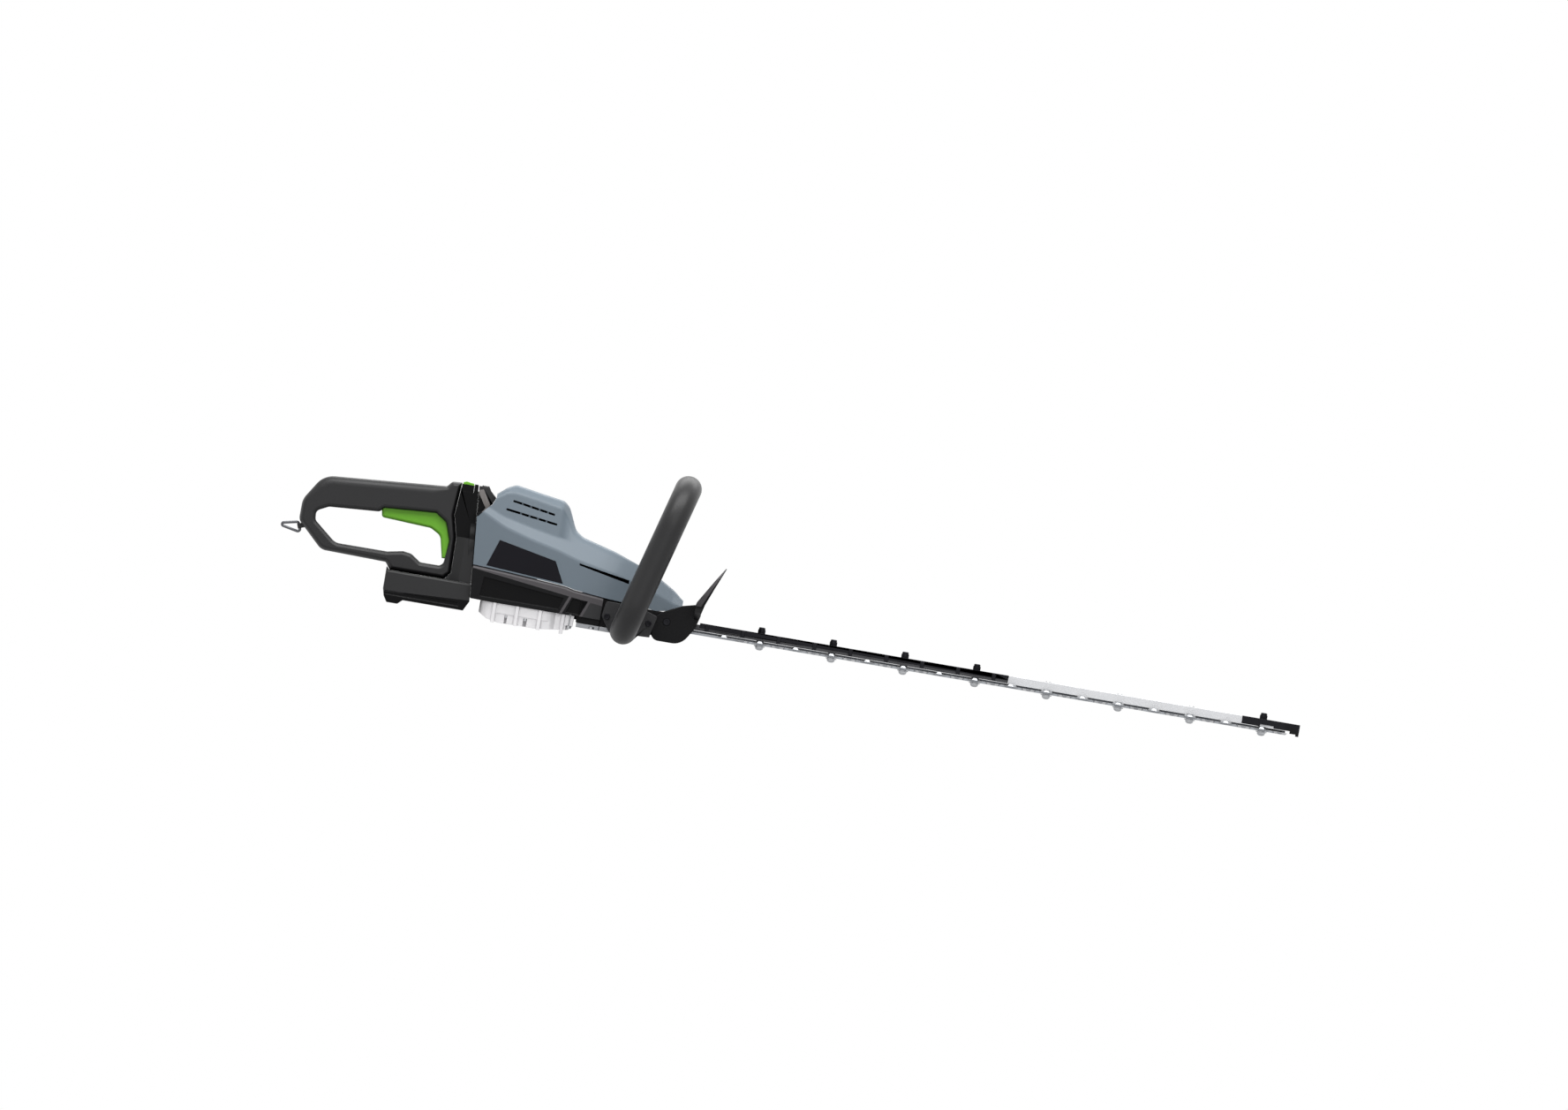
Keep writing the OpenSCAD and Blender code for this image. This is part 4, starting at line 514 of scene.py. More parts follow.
# above the joint the neck's recessed side is painted near-black: painted shade
neck = soften("swivel_neck", 0.2, [shade_black, FINISH["charcoal"]])
print("neck:", zones(neck, lambda x, y, z, facing: z < JOINT_TOP))
# the pale strip on each ear's side is a painted highlight of its lit face
collar = soften("swivel_collar", 0.5, [black, FINISH["ear_strip"], FINISH["charcoal"]])
print("collar:", zones(collar, collar_rule))
# the bar's near side faces are painted dark: painted shade under its cover
bar = soften("guide_bar", 0.25, [FINISH["bar_alu"], FINISH["bar_painted_shade"]])
score(bar, [((BAR_COVER_END, -10), (BAR_COVER_END, 2))])
print("bar:", zones(bar, lambda x, y, z, facing: (x < BAR_COVER_END) & (facing[1] > 0.5)))
# below the port line the side is painted near-black: painted shade of the groove along the port's foot
port = soften("port_housing", 0.6, [FINISH["charcoal"], shade_black])
score(port, [PORT_LINE])
print("port:", zones(port, lambda x, y, z, facing: (facing[1] > 0.2) & ~left_of(x, z, PORT_LINE)))
soften("blade_bushes", 0.15, [FINISH["blade_dark"]])
soften("gear_cover", 0.35)

# %% [markdown]
# ## Outlines carried across the tool
# Moulded halves are drawn as a side view: an outline of straight runs joined by arcs. A curve object could
# be extruded, but its bevel can't be wide in the palm and narrow elsewhere. So the outline is carried
# across the tool and drawn in near both sides, by its own amount at each point. The corner arcs, the
# drawing-in and the grid of faces are all worked out for the whole outline at once.

# %% Outline helpers


def rounded(corners, steps=8):
    """Corners (x, z, r) to a dense outline. With d the half angle of a corner, the arc starts r / tan d back
    along each edge, its centre lies r / sin d along the bisector, and its points go round that centre."""
    c = np.array(corners, float)
    p, r = c[:, :2], np.maximum(c[:, 2], 1e-4)[:, None]
    u = np.roll(p, 1, axis=0) - p
    v = np.roll(p, -1, axis=0) - p
    u /= np.linalg.norm(u, axis=1, keepdims=True)
    v /= np.linalg.norm(v, axis=1, keepdims=True)
    half = np.arccos(np.clip((u * v).sum(1, keepdims=True), -1, 1)) / 2
    middle = (u + v) / np.linalg.norm(u + v, axis=1, keepdims=True)
    centre = p + middle * r / np.sin(half)
    first, last = p + u * r / np.tan(half) - centre, p + v * r / np.tan(half) - centre
    a0 = np.arctan2(first[:, 1], first[:, 0])[:, None]
    turn = (np.arctan2(last[:, 1], last[:, 0])[:, None] - a0 + np.pi) % (2 * np.pi) - np.pi
    a = a0 + turn * np.linspace(0, 1, steps + 1)[None, :]
    arc = centre[:, None, :] + r[:, None] * np.stack([np.cos(a), np.sin(a)], -1)
    points = arc.reshape(-1, 2)
    apart = np.linalg.norm(points - np.roll(points, 1, axis=0), axis=1) > 0.02
    return points[apart]


def circle(r, n=32):
    """n points round a circle of radius r about the origin."""
    a = np.linspace(0, 2 * np.pi, n, endpoint=False)
    return r * np.column_stack([np.cos(a), np.sin(a)])


def drawn_in(outline, by):
    """Each point moved inward by an amount along the mitre of its two edges: (m + n) / (1 + m . n), where m
    and n are the inward normals. The outline runs anticlockwise."""
    e = np.roll(outline, -1, axis=0) - outline
    e /= np.linalg.norm(e, axis=1, keepdims=True)
    n = np.stack([-e[:, 1], e[:, 0]], -1)
    m = np.roll(n, 1, axis=0)
    mitre = (m + n) / np.maximum(1 + (m * n).sum(1, keepdims=True), 0.4)
    return outline + np.asarray(by).reshape(-1, 1) * mitre


def quads(rows, cols, ring=False):
    """Quads of a grid whose columns close; with ring the last row meets the first."""
    i = np.arange(rows if ring else rows - 1)[:, None] * cols
    j = np.arange(cols)[None, :]
    k = (j + 1) % cols
    low = (i + cols) % (rows * cols)
    return np.stack([i + j, i + k, low + k, low + j], -1).reshape(-1, 4)


def solid(name, grid, ring=False):
    """A closed mesh from a rows by cols grid of tool points: quads between the rows, and a flat face at each
    end unless it is a ring."""
    rows, cols = grid.shape[:2]
    faces = quads(rows, cols, ring).tolist()
    if not ring:
        faces += [list(range(cols))[::-1], list(range((rows - 1) * cols, rows * cols))]
    mesh = bpy.data.meshes.new(name)
    mesh.from_pydata(world(grid.reshape(-1, 3)).tolist(), [], faces)
    work = bmesh.new()
    work.from_mesh(mesh)
    bmesh.ops.recalc_face_normals(work, faces=work.faces)
    work.to_mesh(mesh)
    work.free()
    return new_piece(name, mesh)


def standing(outline, y):
    """A side-view outline as points of the tool, all at one y."""
    q = np.asarray(outline, float)
    return np.column_stack([q[:, 0], np.full(len(q), y), q[:, 1]])


def across(outline, half, edge, over=0.0, steps=7):
    """Rows of an outline carried from -half to half. At angle a the inset is edge (1 - sin a) and the
    distance from the side edge (1 - cos a); a negative edge flares instead, as a soft-edged hole does."""
    a = np.linspace(0, np.pi / 2, steps)
    inset = np.outer(1 - np.sin(a), np.broadcast_to(edge, len(outline)))
    y = half - np.max(np.abs(edge)) * (1 - np.cos(a))
    y[0] += over
    rows = [standing(drawn_in(outline, inset[k]), -y[k]) for k in range(steps)]
    return np.array(rows + [row * (1, -1, 1) for row in rows[::-1]])


def refined(grid, step=4.0):
    """More columns where they lie far apart: each gap is cut into equal shares, the same in every row, so a
    straight run stays straight and its drawn-in rows stay between their own corners."""
    gap = np.linalg.norm(np.roll(grid, -1, axis=1) - grid, axis=2).max(0)
    parts = np.maximum(np.ceil(gap / step), 1).astype(int)
    first = np.repeat(np.arange(len(parts)), parts)
    share = (np.arange(parts.sum()) - np.repeat(np.cumsum(parts) - parts, parts)) / np.repeat(parts, parts)
    return grid[:, first] * (1 - share[:, None]) + grid[:, (first + 1) % len(parts)] * share[:, None]


def slab(name, outline, y0, y1):
    """A straight-edged plate: the outline at y0 and at y1."""
    return solid(name, np.array([standing(outline, y) for y in (y0, y1)]))


def disc(x, z, r, y0, y1):
    """A round cutter lying across the tool."""
    return slab("bore", circle(r) + (x, z), y0, y1)


def block(name, low, high, place=lambda p: p):
    """A box between two corners, put where place says."""
    outline = [[low[0], low[2]], [high[0], low[2]], [high[0], high[2]], [low[0], high[2]]]
    return solid(name, np.array([place(standing(outline, y)) for y in (low[1], high[1])]))


def carve(piece, cutters, operation="DIFFERENCE"):
    """Cuts each cutter out of the piece, keeps the result as its mesh, and throws the cutters away."""
    for cutter in cutters:
        cut = piece.modifiers.new("cut", "BOOLEAN")
        cut.operation, cut.solver, cut.object = operation, "EXACT", cutter
    bpy.context.view_layer.update()
    baked = bpy.data.meshes.new_from_object(piece.evaluated_get(bpy.context.evaluated_depsgraph_get()))
    piece.modifiers.clear()
    piece.data = baked
    for cutter in cutters:
        bpy.data.objects.remove(cutter)
    return piece


def joined(name, parts):
    """Several pieces as one mesh."""
    work = bmesh.new()
    for each in parts:
        work.from_mesh(each.data)
        bpy.data.objects.remove(each)
    mesh = bpy.data.meshes.new(name)
    work.to_mesh(mesh)
    work.free()
    return new_piece(name, mesh)


JOINT_X, JOINT_Z = -251.5, 42
JOINT_TILT = math.radians(5)


def swivel(points):
    """Points given ahead of the swivel's joint face, which is tilted back, to tool points."""
    q = np.asarray(points, float)
    c, s = math.cos(JOINT_TILT), math.sin(JOINT_TILT)
    x = JOINT_X + q[..., 0] * c - q[..., 2] * s
    z = JOINT_Z + q[..., 0] * s + q[..., 2] * c
    return np.stack([x, q[..., 1], z], -1)


print("a square with rounded corners:", len(rounded([[0, 0, 1], [9, 0, 1], [9, 9, 1], [0, 9, 1]])), "points")

# %% [markdown]
# ## Housing cover
# The painted shell is one moulding: a draughted side, a broad bevel along the whole tool, a hump over the
# motor and a ridge that runs down to the nose. Sculpting or subdividing a cage would give a soap-like form
# without its straight runs. So the shape is a short table of stations. Between them every height is read
# off the table and averaged over a few millimetres, which rounds the profile where stations meet. Each
# section's corners are then cut back along both edges and filled with a parabola.

# %% Cover surface
# station x; heights of foot, side's top, bevel's top, shoulder and crown; lean of the hump's wall
COVER = np.array([
    [-262, 22, 86, 92, 97, 100, 0.15],
    [-240, 21, 76, 84, 93, 97, 0.15],
    [-226, 20.3, 69, 78, 103, 109, 0.15],
    [-217, 19.8, 65.5, 76, 105, 113.4, 0.15],
    [-190, 18, 58, 70, 101, 109, 0.15],
    [-163, 16, 52, 65, 96.5, 105, 0.15],
    [-156, 15.5, 50, 63.3, 87, 99, 0.42],
    [-146, 14.5, 47, 61, 69, 76, 0.7],
    [-137, 12.5, 44.5, 58, 64, 69.6, 0.7],
    [-100, 9, 37, 49, 54.5, 60, 0.7],
    [-75, 7.5, 31.5, 42, 46.5, 51, 0.7],
    [-46, 4.8, 22, 30.5, 34.5, 38.8, 0.7],
    [-30, 7.5, 15.6, 21.5, 26, 29.4, 0.7],
    [-19, 13, 14.2, 16, 18, 20, 0.7]])
COVER_REAR, COVER_NOSE = COVER[0, 0], COVER[-1, 0]
WALL = 2.6
DRAFT, BEVEL_LEAN = 0.8, 0.7
CUT_BACK = np.array([2.5, 2.2, 2.6, 4.0])[None, :, None]
BEYOND = 60


def foot_half(x):
    """Half width at the foot: 18 mm at the nose, growing as a quarter sine to 41 mm at x = -155."""
    return 18 + 23 * np.sin(np.pi / 2 * np.clip((COVER_NOSE - x) / 136, 0, 1))


def cover_grid(x, inward, foot=None, steps=5):
    """Rows of sections at the stations x. From the foot the side drafts in, the bevel leans in by its share
    of its height, the hump wall by its own lean and the shoulder by its height; inward shrinks all of it."""
    spread = np.linspace(-3, 3, 7)
    weight = np.hanning(9)[1:-1]
    weight /= weight.sum()
    low, high, shoulder, crown, lean = [
        (np.interp(x[:, None] + spread, COVER[:, 0], COVER[:, k]) * weight).sum(1) for k in range(2, 7)]
    base = np.interp(x, COVER[:, 0], COVER[:, 1]) if foot is None else np.full(len(x), foot)
    a = foot_half(x) - inward
    b = a - DRAFT
    c = b - BEVEL_LEAN * (high - low)
    d = c - lean * (shoulder - high)
    e = d - (crown - shoulder)
    wide = np.stack([a, b, c, d, e, e * 0], -1)
    tall = np.stack([base, low - inward * 0.4, high - inward * 0.9, shoulder - inward, crown - inward,
                     crown - inward + 0.02 * e], -1)
    corner = np.stack([wide, tall], -1)
    p, before, after = corner[:, 1:-1], corner[:, :-2], corner[:, 2:]
    u, v = before - p, after - p
    ul, vl = np.linalg.norm(u, axis=2, keepdims=True), np.linalg.norm(v, axis=2, keepdims=True)
    q0 = p + u / ul * np.minimum(CUT_BACK, ul * 0.45)
    q1 = p + v / vl * np.minimum(CUT_BACK, vl * 0.45)
    t = np.linspace(0, 1, steps)[None, None, :, None]
    bend = (1 - t) ** 2 * q0[:, :, None] + 2 * t * (1 - t) * p[:, :, None] + t ** 2 * q1[:, :, None]
    side = np.concatenate([corner[:, :1], bend.reshape(len(x), -1, 2), corner[:, -1:]], 1)
    near = np.stack([np.broadcast_to(x[:, None], side.shape[:2]), -side[..., 0], side[..., 1]], -1)
    return np.concatenate([near, near[:, -2::-1] * (1, -1, 1)], 1)


shell = solid("housing_cover", cover_grid(np.linspace(COVER_REAR, COVER_NOSE, 150), 0))
hollow_x = np.concatenate([[COVER_REAR - 2], np.linspace(-260, -26, 60), [-22.6]])
hollow = solid("hollow", cover_grid(hollow_x, WALL, -6, 3))
behind = block("behind", (-160, -90, -120), (0.4, 90, 120), swivel)
ear_room = slab("ear_room", [[-270, 73.5], [-252.6, 73.5], [-245.7, 82.3], [-239.7, 88.1], [-236.2, 96.5],
                             [-236.2, 120], [-270, 120]], -BEYOND, BEYOND)
carve(shell, [hollow, behind, ear_room])
print("cover:", len(shell.data.polygons), "faces")

# %% [markdown]
# ## Slots and recesses
# Sliding cores in the mould leave two rows of cooling slots with thin ribs standing inside, a long outlet
# slot over the nose, and a shallow recess on each side for the blank panel. A bump map could draw them, but
# the light has to fall into a slot, so they are cut as solids. A slot's cutter is a plate through the whole
# shell, with the ribs taken out of it before it cuts, and a recess's cutter stops inside the wall.

# %% Slots and recesses in the cover
ROW_DROP = 10
RIB_X = -208 + 9.5 * np.arange(4)
cutters = []
for row in range(2):
    drop = ROW_DROP * row
    rear_x, front_x = -218 - 6 * row, -171 + 4 * row
    vent = slab("vent", rounded([[rear_x, 97.4 - drop, 1], [rear_x, 95 - drop, 1], [front_x, 87.4 - drop, 1],
                                 [front_x, 89.8 - drop, 1]], 5), -BEYOND, BEYOND)
    reach = 26.6 + 1.6 * row
    cutters.append(carve(vent, [block("rib", (x - 0.5, -reach, 60), (x + 1.5, reach, 110)) for x in RIB_X]))
cutters.append(slab("outlet", [[-136, 39.6], [-80, 28.4], [-80, 32.4], [-136, 41.6]], -BEYOND, BEYOND))
recess = drawn_in(np.array([[-235, 22.8], [-150.5, 17], [-162, 39.5], [-225, 52]]), -0.2)
cutters += [slab("recess", recess, -BEYOND, -39.2), slab("recess", recess, 39.2, BEYOND)]
carve(shell, cutters)
fit(shell, "top_cover", angle=25)
print("cover with slots:", len(shell.data.polygons), "faces")

# %% [markdown]
# ## Shade plates, bumper, web, lips and wear plate
# Behind the slots stand near-black plates, painted shade that makes the slots look black from outside. A
# bumper wall closes the tip, a gloss black web stands behind each of the collar's ears as painted shade, a
# thin plate fills the joint that the handle turns on, and two gloss black lips, also painted shade, close the
# slit beside the lock button. Behind slots and in joints only their outline shows. So all are flat plates,
# cut to the room that the CAD leaves for them.

# %% Thin plates


def plates(name, node, finish, parts):
    """Several flat plates as one piece that rides with a node and wears a finish."""
    return settle(round_edges(joined(name, parts), 0.06, 1), node, [finish])


# painted shade: near-black plates behind the slot rows, so that the slots look dark
SLOT_SHADE_PLATES = [([[-229, 75], [-162, 73], [-166, 92], [-215, 100.5], [-229, 91]], 22.5),
           ([[-138, 27], [-78, 24], [-78, 35], [-138, 44]], 21.0)]
plates("slot_shade_plates", "top_cover", FINISH["slot_shade"],
       [slab("shade_plate", outline, s * y, s * (y + 0.8)) for outline, y in SLOT_SHADE_PLATES for s in SIDES])

wall_out = np.array([[649.8, 17], [655, 13], [659.5, 8.8]])
wall_in = np.array([[649.8, 14.6], [654, 11.3], [656.6, 8.6]])
plan = np.vstack([wall_out, wall_out[::-1] * (1, -1), wall_in * (1, -1), wall_in[::-1]])
plates("tip_bumper", "tip_guard", black,
       [solid("wall", np.array([np.column_stack([plan, np.full(len(plan), z)]) for z in (-11, -4.2)]))])

# the webs and the lips wear the near-black gloss: painted shade behind the ears and in the slit
WEB = [[-254.0, 75.5], [-252, 75], [-246, 82.9], [-256.1, 99.5]]
plates("collar_web", "swivel_collar", shade_black, [slab("web", WEB, s * 9.6, s * 12.8) for s in SIDES])
LIP = [[-275.3, 97.6], [-261.9, 97.6], [-261.9, 105.2], [-275.3, 105.2]]
plates("button_lips", "swivel_neck", shade_black, [slab("lip", LIP, s * 15.75, s * 16.5) for s in SIDES])

wear_y = [-34, 34, 34, 12.8, 12.8, -12.8, -12.8, -34]
wear_z = [-57, -57, 36, 36, 58, 58, 36, 36]
wear = solid("joint_wear_plate", np.array([swivel(np.column_stack([np.full(8, x), wear_y, wear_z]))
                                           for x in (-0.36, 0.38)]))
rim = circle(24.3, 64)
hole = np.array([swivel(np.column_stack([np.full(64, x), rim])) for x in (-2, 2)])
carve(wear, [solid("spindle_hole", hole)])
settle(wear, "swivel_collar", [black])
print("wear plate:", len(wear.data.polygons), "faces")

# %% [markdown]
# ## D-handle
# The two handle halves are mirror shells screwed together. The grip's top is round enough for a palm, so
# its edges are drawn in by 9 mm there and by 5 mm along the rest. A swept tube would be quicker, but the
# handle is no tube: its opening is a second outline, which flares towards both sides and is taken away from
# the plate. One solid is made first, and each half is what remains of it on its own side of the parting
# line.

# %% Handle halves
HANDLE = rounded([
    [-414, 9.5, 14], [-343, 8, 2], [-337, 0.3, 0], [-278, 0.3, 0], [-271.4, 8, 0], [-272, 47, 0],
    [-278, 70, 0], [-275.4, 106.3, 0], [-286, 105.7, 5.2], [-291, 99.8, 3], [-305, 98.67, 0], [-400, 91, 30],
    [-424, 89, 24], [-442.5, 60, 20], [-442.8, 37.4, 10]], 10)
OPENING = rounded([
    [-400, 19.5, 14], [-343, 19.5, 10], [-326, 22.8, 7], [-317, 21.5, 7], [-306, 14, 5], [-281.5, 14, 6],
    [-279, 42, 8], [-285.5, 61, 8], [-298, 69.2, 4], [-354, 65.2, 2], [-358, 60.4, 6], [-413, 56.5, 8],
    [-426, 50, 6], [-425, 40, 6]], 10)
TRIGGER_ROOM = [[-283, 17], [-274.6, 19], [-274.8, 48], [-280.7, 70], [-279.5, 93.5], [-360, 88.5],
                [-360, 61.5], [-354, 61.5], [-300, 62], [-290, 56], [-284, 42]]
LUG = [[-444.1, 32.6], [-442.2, 27.4], [-434.6, 30.5], [-434, 36.7], [-436.5, 35.7]]
SCREW_AT = [[-433, 50], [-400, 74], [-366, 75], [-284, 99], [-378, 13.6], [-300, 7]]
GRIP_HALF, GRIP_EDGE, PALM_EDGE = 16.5, 5, 4
TRIGGER_PIN = (-351, 69.5)
RING_AT = np.array([-443, 35])
PARTING = 0.08


def round_bar(name, ends, r):
    """A round bar in the plane y = 0 between two points: two rings about its axis."""
    along = (ends[1] - ends[0]) / np.linalg.norm(ends[1] - ends[0])
    c, s = circle(r).T
    side = np.column_stack([-along[1] * c, s, along[0] * c])
    return solid(name, np.array([side + (end[0], 0, end[1]) for end in ends]))


palm = np.clip((HANDLE[:, 1] - 72) / 12, 0, 1) * np.clip((-292 - HANDLE[:, 0]) / 12, 0, 1)
ring_way = np.array([4.5, -11.0]) / math.hypot(4.5, 11)
handle = solid("handle", refined(across(HANDLE, GRIP_HALF, GRIP_EDGE + PALM_EDGE * palm)))
carve(handle, [slab("lug", LUG, -2.6, 2.6)], "UNION")
cutters = [solid("opening", refined(across(OPENING, GRIP_HALF, np.full(len(OPENING), -5.0), 1.0))),
           slab("trigger_room", TRIGGER_ROOM, -11.3, 11.3),
           round_bar("ring_bore", np.array([RING_AT - ring_way * 5, RING_AT + ring_way * 20]), 1.58),
           disc(*TRIGGER_PIN, 2.01, -14.3, 14.3)]
for x, z in SCREW_AT:
    cutters += [disc(x, z, 1.7, -13.5, 30), disc(x, z, 3.3, 12.5, 30)]
carve(handle, cutters)
for side, s in (("right", 1), ("left", -1)):
    half = new_piece("grip_shell_" + side, handle.data.copy())
    away = sorted((-PARTING * s, BEYOND * s))
    carve(half, [slab("away", [[-500, -60], [-200, -60], [-200, 120], [-500, 120]], *away)])
    round_edges(half, 0.3, angle=50)
    fit(half, "handle_half_" + side, angle=28)
    print(half.name, len(half.data.polygons), "faces")
bpy.data.objects.remove(handle)

# %% [markdown]
# ## Trigger
# The trigger is one bright lever that turns on a pin. It could be a bent strip, but it is moulded as the
# same kind of plate as the handle, narrower, with its edges drawn in most where the fingers pull.

# %% Trigger
TRIGGER = rounded([
    [-355, 55, 3.6], [-301, 52.2, 8], [-289.5, 46, 10], [-284, 22.3, 0], [-279, 22.3, 0], [-278.4, 42, 0],
    [-284.6, 63, 0], [-297, 72, 2], [-346, 74, 0], [-356.5, 74, 3.6], [-356.5, 64, 0]], 8)
finger = np.clip((66 - TRIGGER[:, 1]) / 8, 0, 1) * np.clip((TRIGGER[:, 1] - 26) / 10, 0, 1)
trigger = solid("green_trigger", refined(across(TRIGGER, 11, 1.6 + 1.9 * finger * (TRIGGER[:, 0] < -282))))
carve(trigger, [disc(*TRIGGER_PIN, 2.05, -20, 20)])
fit(trigger, "trigger", angle=28)
print("trigger:", len(trigger.data.polygons), "faces")

# %% [markdown]
# ## Loop handle
# The front handle is a bent aluminium tube inside a rubber sleeve. A bevelled curve would give a tube, but
# not the rounded lips at its ends or the bore that the metal tube fills. So a circle is carried along the
# path and back: the rows run along the outside, round the lip at the end, and back down the bore. The path
# lies in one leaning plane, so each circle stands on the in-plane normal and the plane's own normal.

# %% Rubber grip and its tube
LOOP_HALF, LOOP_TOP, SOCKET_END = 100, 168.3, 49.3
LOW_BEND, HIGH_BEND = 34, 46
LOOP_X, LOOP_Z = -77.6, -22.5
LOOP_LEAN = math.radians(15.1)


def bend(centre, r, a0, a1, n=24):
    """Points of an arc about a centre."""
    a = np.radians(np.linspace(a0, a1, n))
    return np.column_stack([centre[0] + r * np.cos(a), centre[1] + r * np.sin(a)])


def run(p, q, n):
    """Points between two ends, without the last."""
    t = np.linspace(0, 1, n, endpoint=False)[:, None]
    return np.array(p, float) * (1 - t) + np.array(q, float) * t


def sleeve(name, path, radius, bore, lip, cols=56):
    """A tube round a path (y, w) in the loop's plane: the outside has the radius, its ends are quarter
    circles of size lip, and the rows return along the bore, so that the grid closes on itself."""
    s = np.concatenate([[0], np.cumsum(np.linalg.norm(np.diff(path, axis=0), axis=1))])
    a = np.linspace(0, np.pi / 2, 7)
    inset, fall = lip * (1 - np.cos(a)), lip * (1 - np.sin(a))
    inside = s[(s > lip) & (s < s[-1] - lip)]
    out_s = np.concatenate([inset, inside, s[-1] - inset[::-1]])
    rows_s = np.concatenate([out_s, out_s[::-1]])
    rows_r = np.concatenate([radius - fall, inside * 0 + radius, radius - fall[::-1], out_s * 0 + bore])
    centre = np.column_stack([np.interp(rows_s, s, path[:, k]) for k in (0, 1)])
    slope = np.gradient(path, s, axis=0)
    along = np.column_stack([np.interp(rows_s, s, slope[:, k]) for k in (0, 1)])
    along /= np.linalg.norm(along, axis=1, keepdims=True)
    normal = np.column_stack([-along[:, 1], along[:, 0]])
    c, d = circle(1, cols).T
    flat = centre[:, None, :] + rows_r[:, None, None] * c[None, :, None] * normal[:, None, :]
    off = rows_r[:, None] * d[None, :]
    in_plane = np.array([[0, 1, 0], [math.sin(LOOP_LEAN), 0, math.cos(LOOP_LEAN)]])
    square = np.array([math.cos(LOOP_LEAN), 0, -math.sin(LOOP_LEAN)])
    return solid(name, flat @ in_plane + off[..., None] * square + (LOOP_X, 0, LOOP_Z), ring=True)


quarter = np.vstack([
    run([SOCKET_END, 0], [LOOP_HALF - LOW_BEND, 0], 8),
    bend([LOOP_HALF - LOW_BEND, LOW_BEND], LOW_BEND, -90, 0),
    run([LOOP_HALF, LOW_BEND], [LOOP_HALF, LOOP_TOP - HIGH_BEND], 24)[1:],
    bend([LOOP_HALF - HIGH_BEND, LOOP_TOP - HIGH_BEND], HIGH_BEND, 0, 90),
    run([LOOP_HALF - HIGH_BEND, LOOP_TOP], [0, LOOP_TOP], 14)[1:]])
loop_path = np.vstack([quarter, [[0, LOOP_TOP]], (quarter * (-1, 1))[::-1]])
tube_path = np.vstack([[[38, 0], [43, 0]], loop_path, [[-43, 0], [-38, 0]]])
grip = fit(sleeve("loop_rubber", loop_path, 14.5, 10.02, 2.2), "loop_grip", angle=40)
inner_tube = fit(sleeve("loop_alu_tube", tube_path, 10.0, 8.2, 0.6, 40), "loop_tube", angle=40)
print("grip and tube:", len(grip.data.polygons), len(inner_tube.data.polygons), "faces")

# %% [markdown]
# ## Hand guard
# The guard is a hub screwed to the nose and a shield that keeps twigs off the hand. The hub is a soft-edged
# plate like the trigger, hollowed to sit over the nose block and to let the blades through. It could be one
# mesh with the shield, but the two are made by different rules and overlap inside, so they stay two pieces.

# %% Guard hub
CHEEK = 30
PIVOT = (-33, -5)
BLADE_ROOM = ((-20, -14.9, -14.6), (10, 14.9, 0.3))
HUB = rounded([[-48, -26.7, 9], [-14, -26.7, 18], [-1.5, -7, 8], [2.5, 8, 3], [-3, 19, 2], [-19, 15, 3],
               [-40, 4.6, 4], [-48, -3, 6]])
hub = solid("guard_hub", refined(across(HUB, CHEEK, 1.4)))
rooms = [block("nose_room", (-60, -25.2, -21.7), (-8.6, 25.2, 40)), block("blade_room", *BLADE_ROOM),
         disc(*PIVOT, 2.2, -BEYOND, BEYOND)]
rooms += [disc(*PIVOT, 4.2, *sorted((s * (CHEEK - 2.4), s * BEYOND))) for s in SIDES]
carve(hub, rooms)
fit(hub, "hand_guard")
print("hub:", len(hub.data.polygons), "faces")

# %% [markdown]
# The shield is thin, and a rim along each side stiffens it: the rim is deep at the foot and runs out at the
# tip. A bent plate with a solidify modifier would have the same depth all over. So each level of it is a
# flat C that is worked out from three curves, and the levels are stacked. The rim's side is painted a satin
# grey as a highlight along its edge, scored along the line that it follows.

# %% Shield
PLATE, RIM_WALL = 2.4, 2.8
RIM_LINE = ((-1.5, 12), (20.6, 61))


def shield_levels(z, points=41):
    """Rows of the shield at the heights z. The front and the rim's rear are read off two side-view curves and
    the half width off a third. Each row runs along the front, round one rim, back inside the plate and round
    the other rim."""
    front = np.interp(z, [2, 8, 20, 38, 60, 62.2], [0.5, 2, 5, 12, 21, 21.8])
    rear = np.interp(z, [2, 8, 19, 22, 47, 62.2], [-4, -4.6, -5, -4, 11, 20.6])
    half = np.interp(z, [2, 6, 10, 15, 20, 30, 42, 50, 55, 59, 61, 62.2],
                     [27, 42, 54, 62, 66, 69, 70, 69.4, 67, 61, 55, 50])
    inner = np.maximum(rear + 0.01, front - PLATE)
    outside = half[:, None] * np.linspace(-1, 1, points)
    inside = outside.copy()
    inside[:, 0], inside[:, -1] = RIM_WALL - half, half - RIM_WALL
    y = np.hstack([outside, outside[:, -1:], inside[:, -1:], inside[:, ::-1], inside[:, :1], outside[:, :1]])
    x = np.repeat(np.stack([front, rear, inner, rear], 1), [points, 2, points, 2], axis=1)
    return np.stack([x, y, np.broadcast_to(z[:, None], x.shape)], -1)


shield = solid("guard_shield", shield_levels(np.linspace(2, 62.2, 48)))
carve(shield, [block("nose_room", (-30, -25.2, -10), (-8.6, 25.2, 14)), block("blade_room", *BLADE_ROOM)])
round_edges(shield, 0.3, angle=40, clamp=True)
score(shield, [RIM_LINE])
# the rim's side behind the line is painted grey: a painted highlight along its edge
settle(shield, "hand_guard", [black, FINISH["grey_trim_and_rim_highlight"]])
rim_highlight_faces = zones(shield, lambda x, y, z, facing: (facing[1] > 0.5) & left_of(x, z, RIM_LINE) & (z > 18))
print("shield:", rim_highlight_faces)

# %% [markdown]
# The bracket clamps both ends of the loop's tube to the frame. Its cross bar is square in the CAD, while
# the real one follows the grip's own curve. A new bracket would have to meet every socket and screw again,
# so the CAD's is kept and only its underside is cut to an arc about the tube.

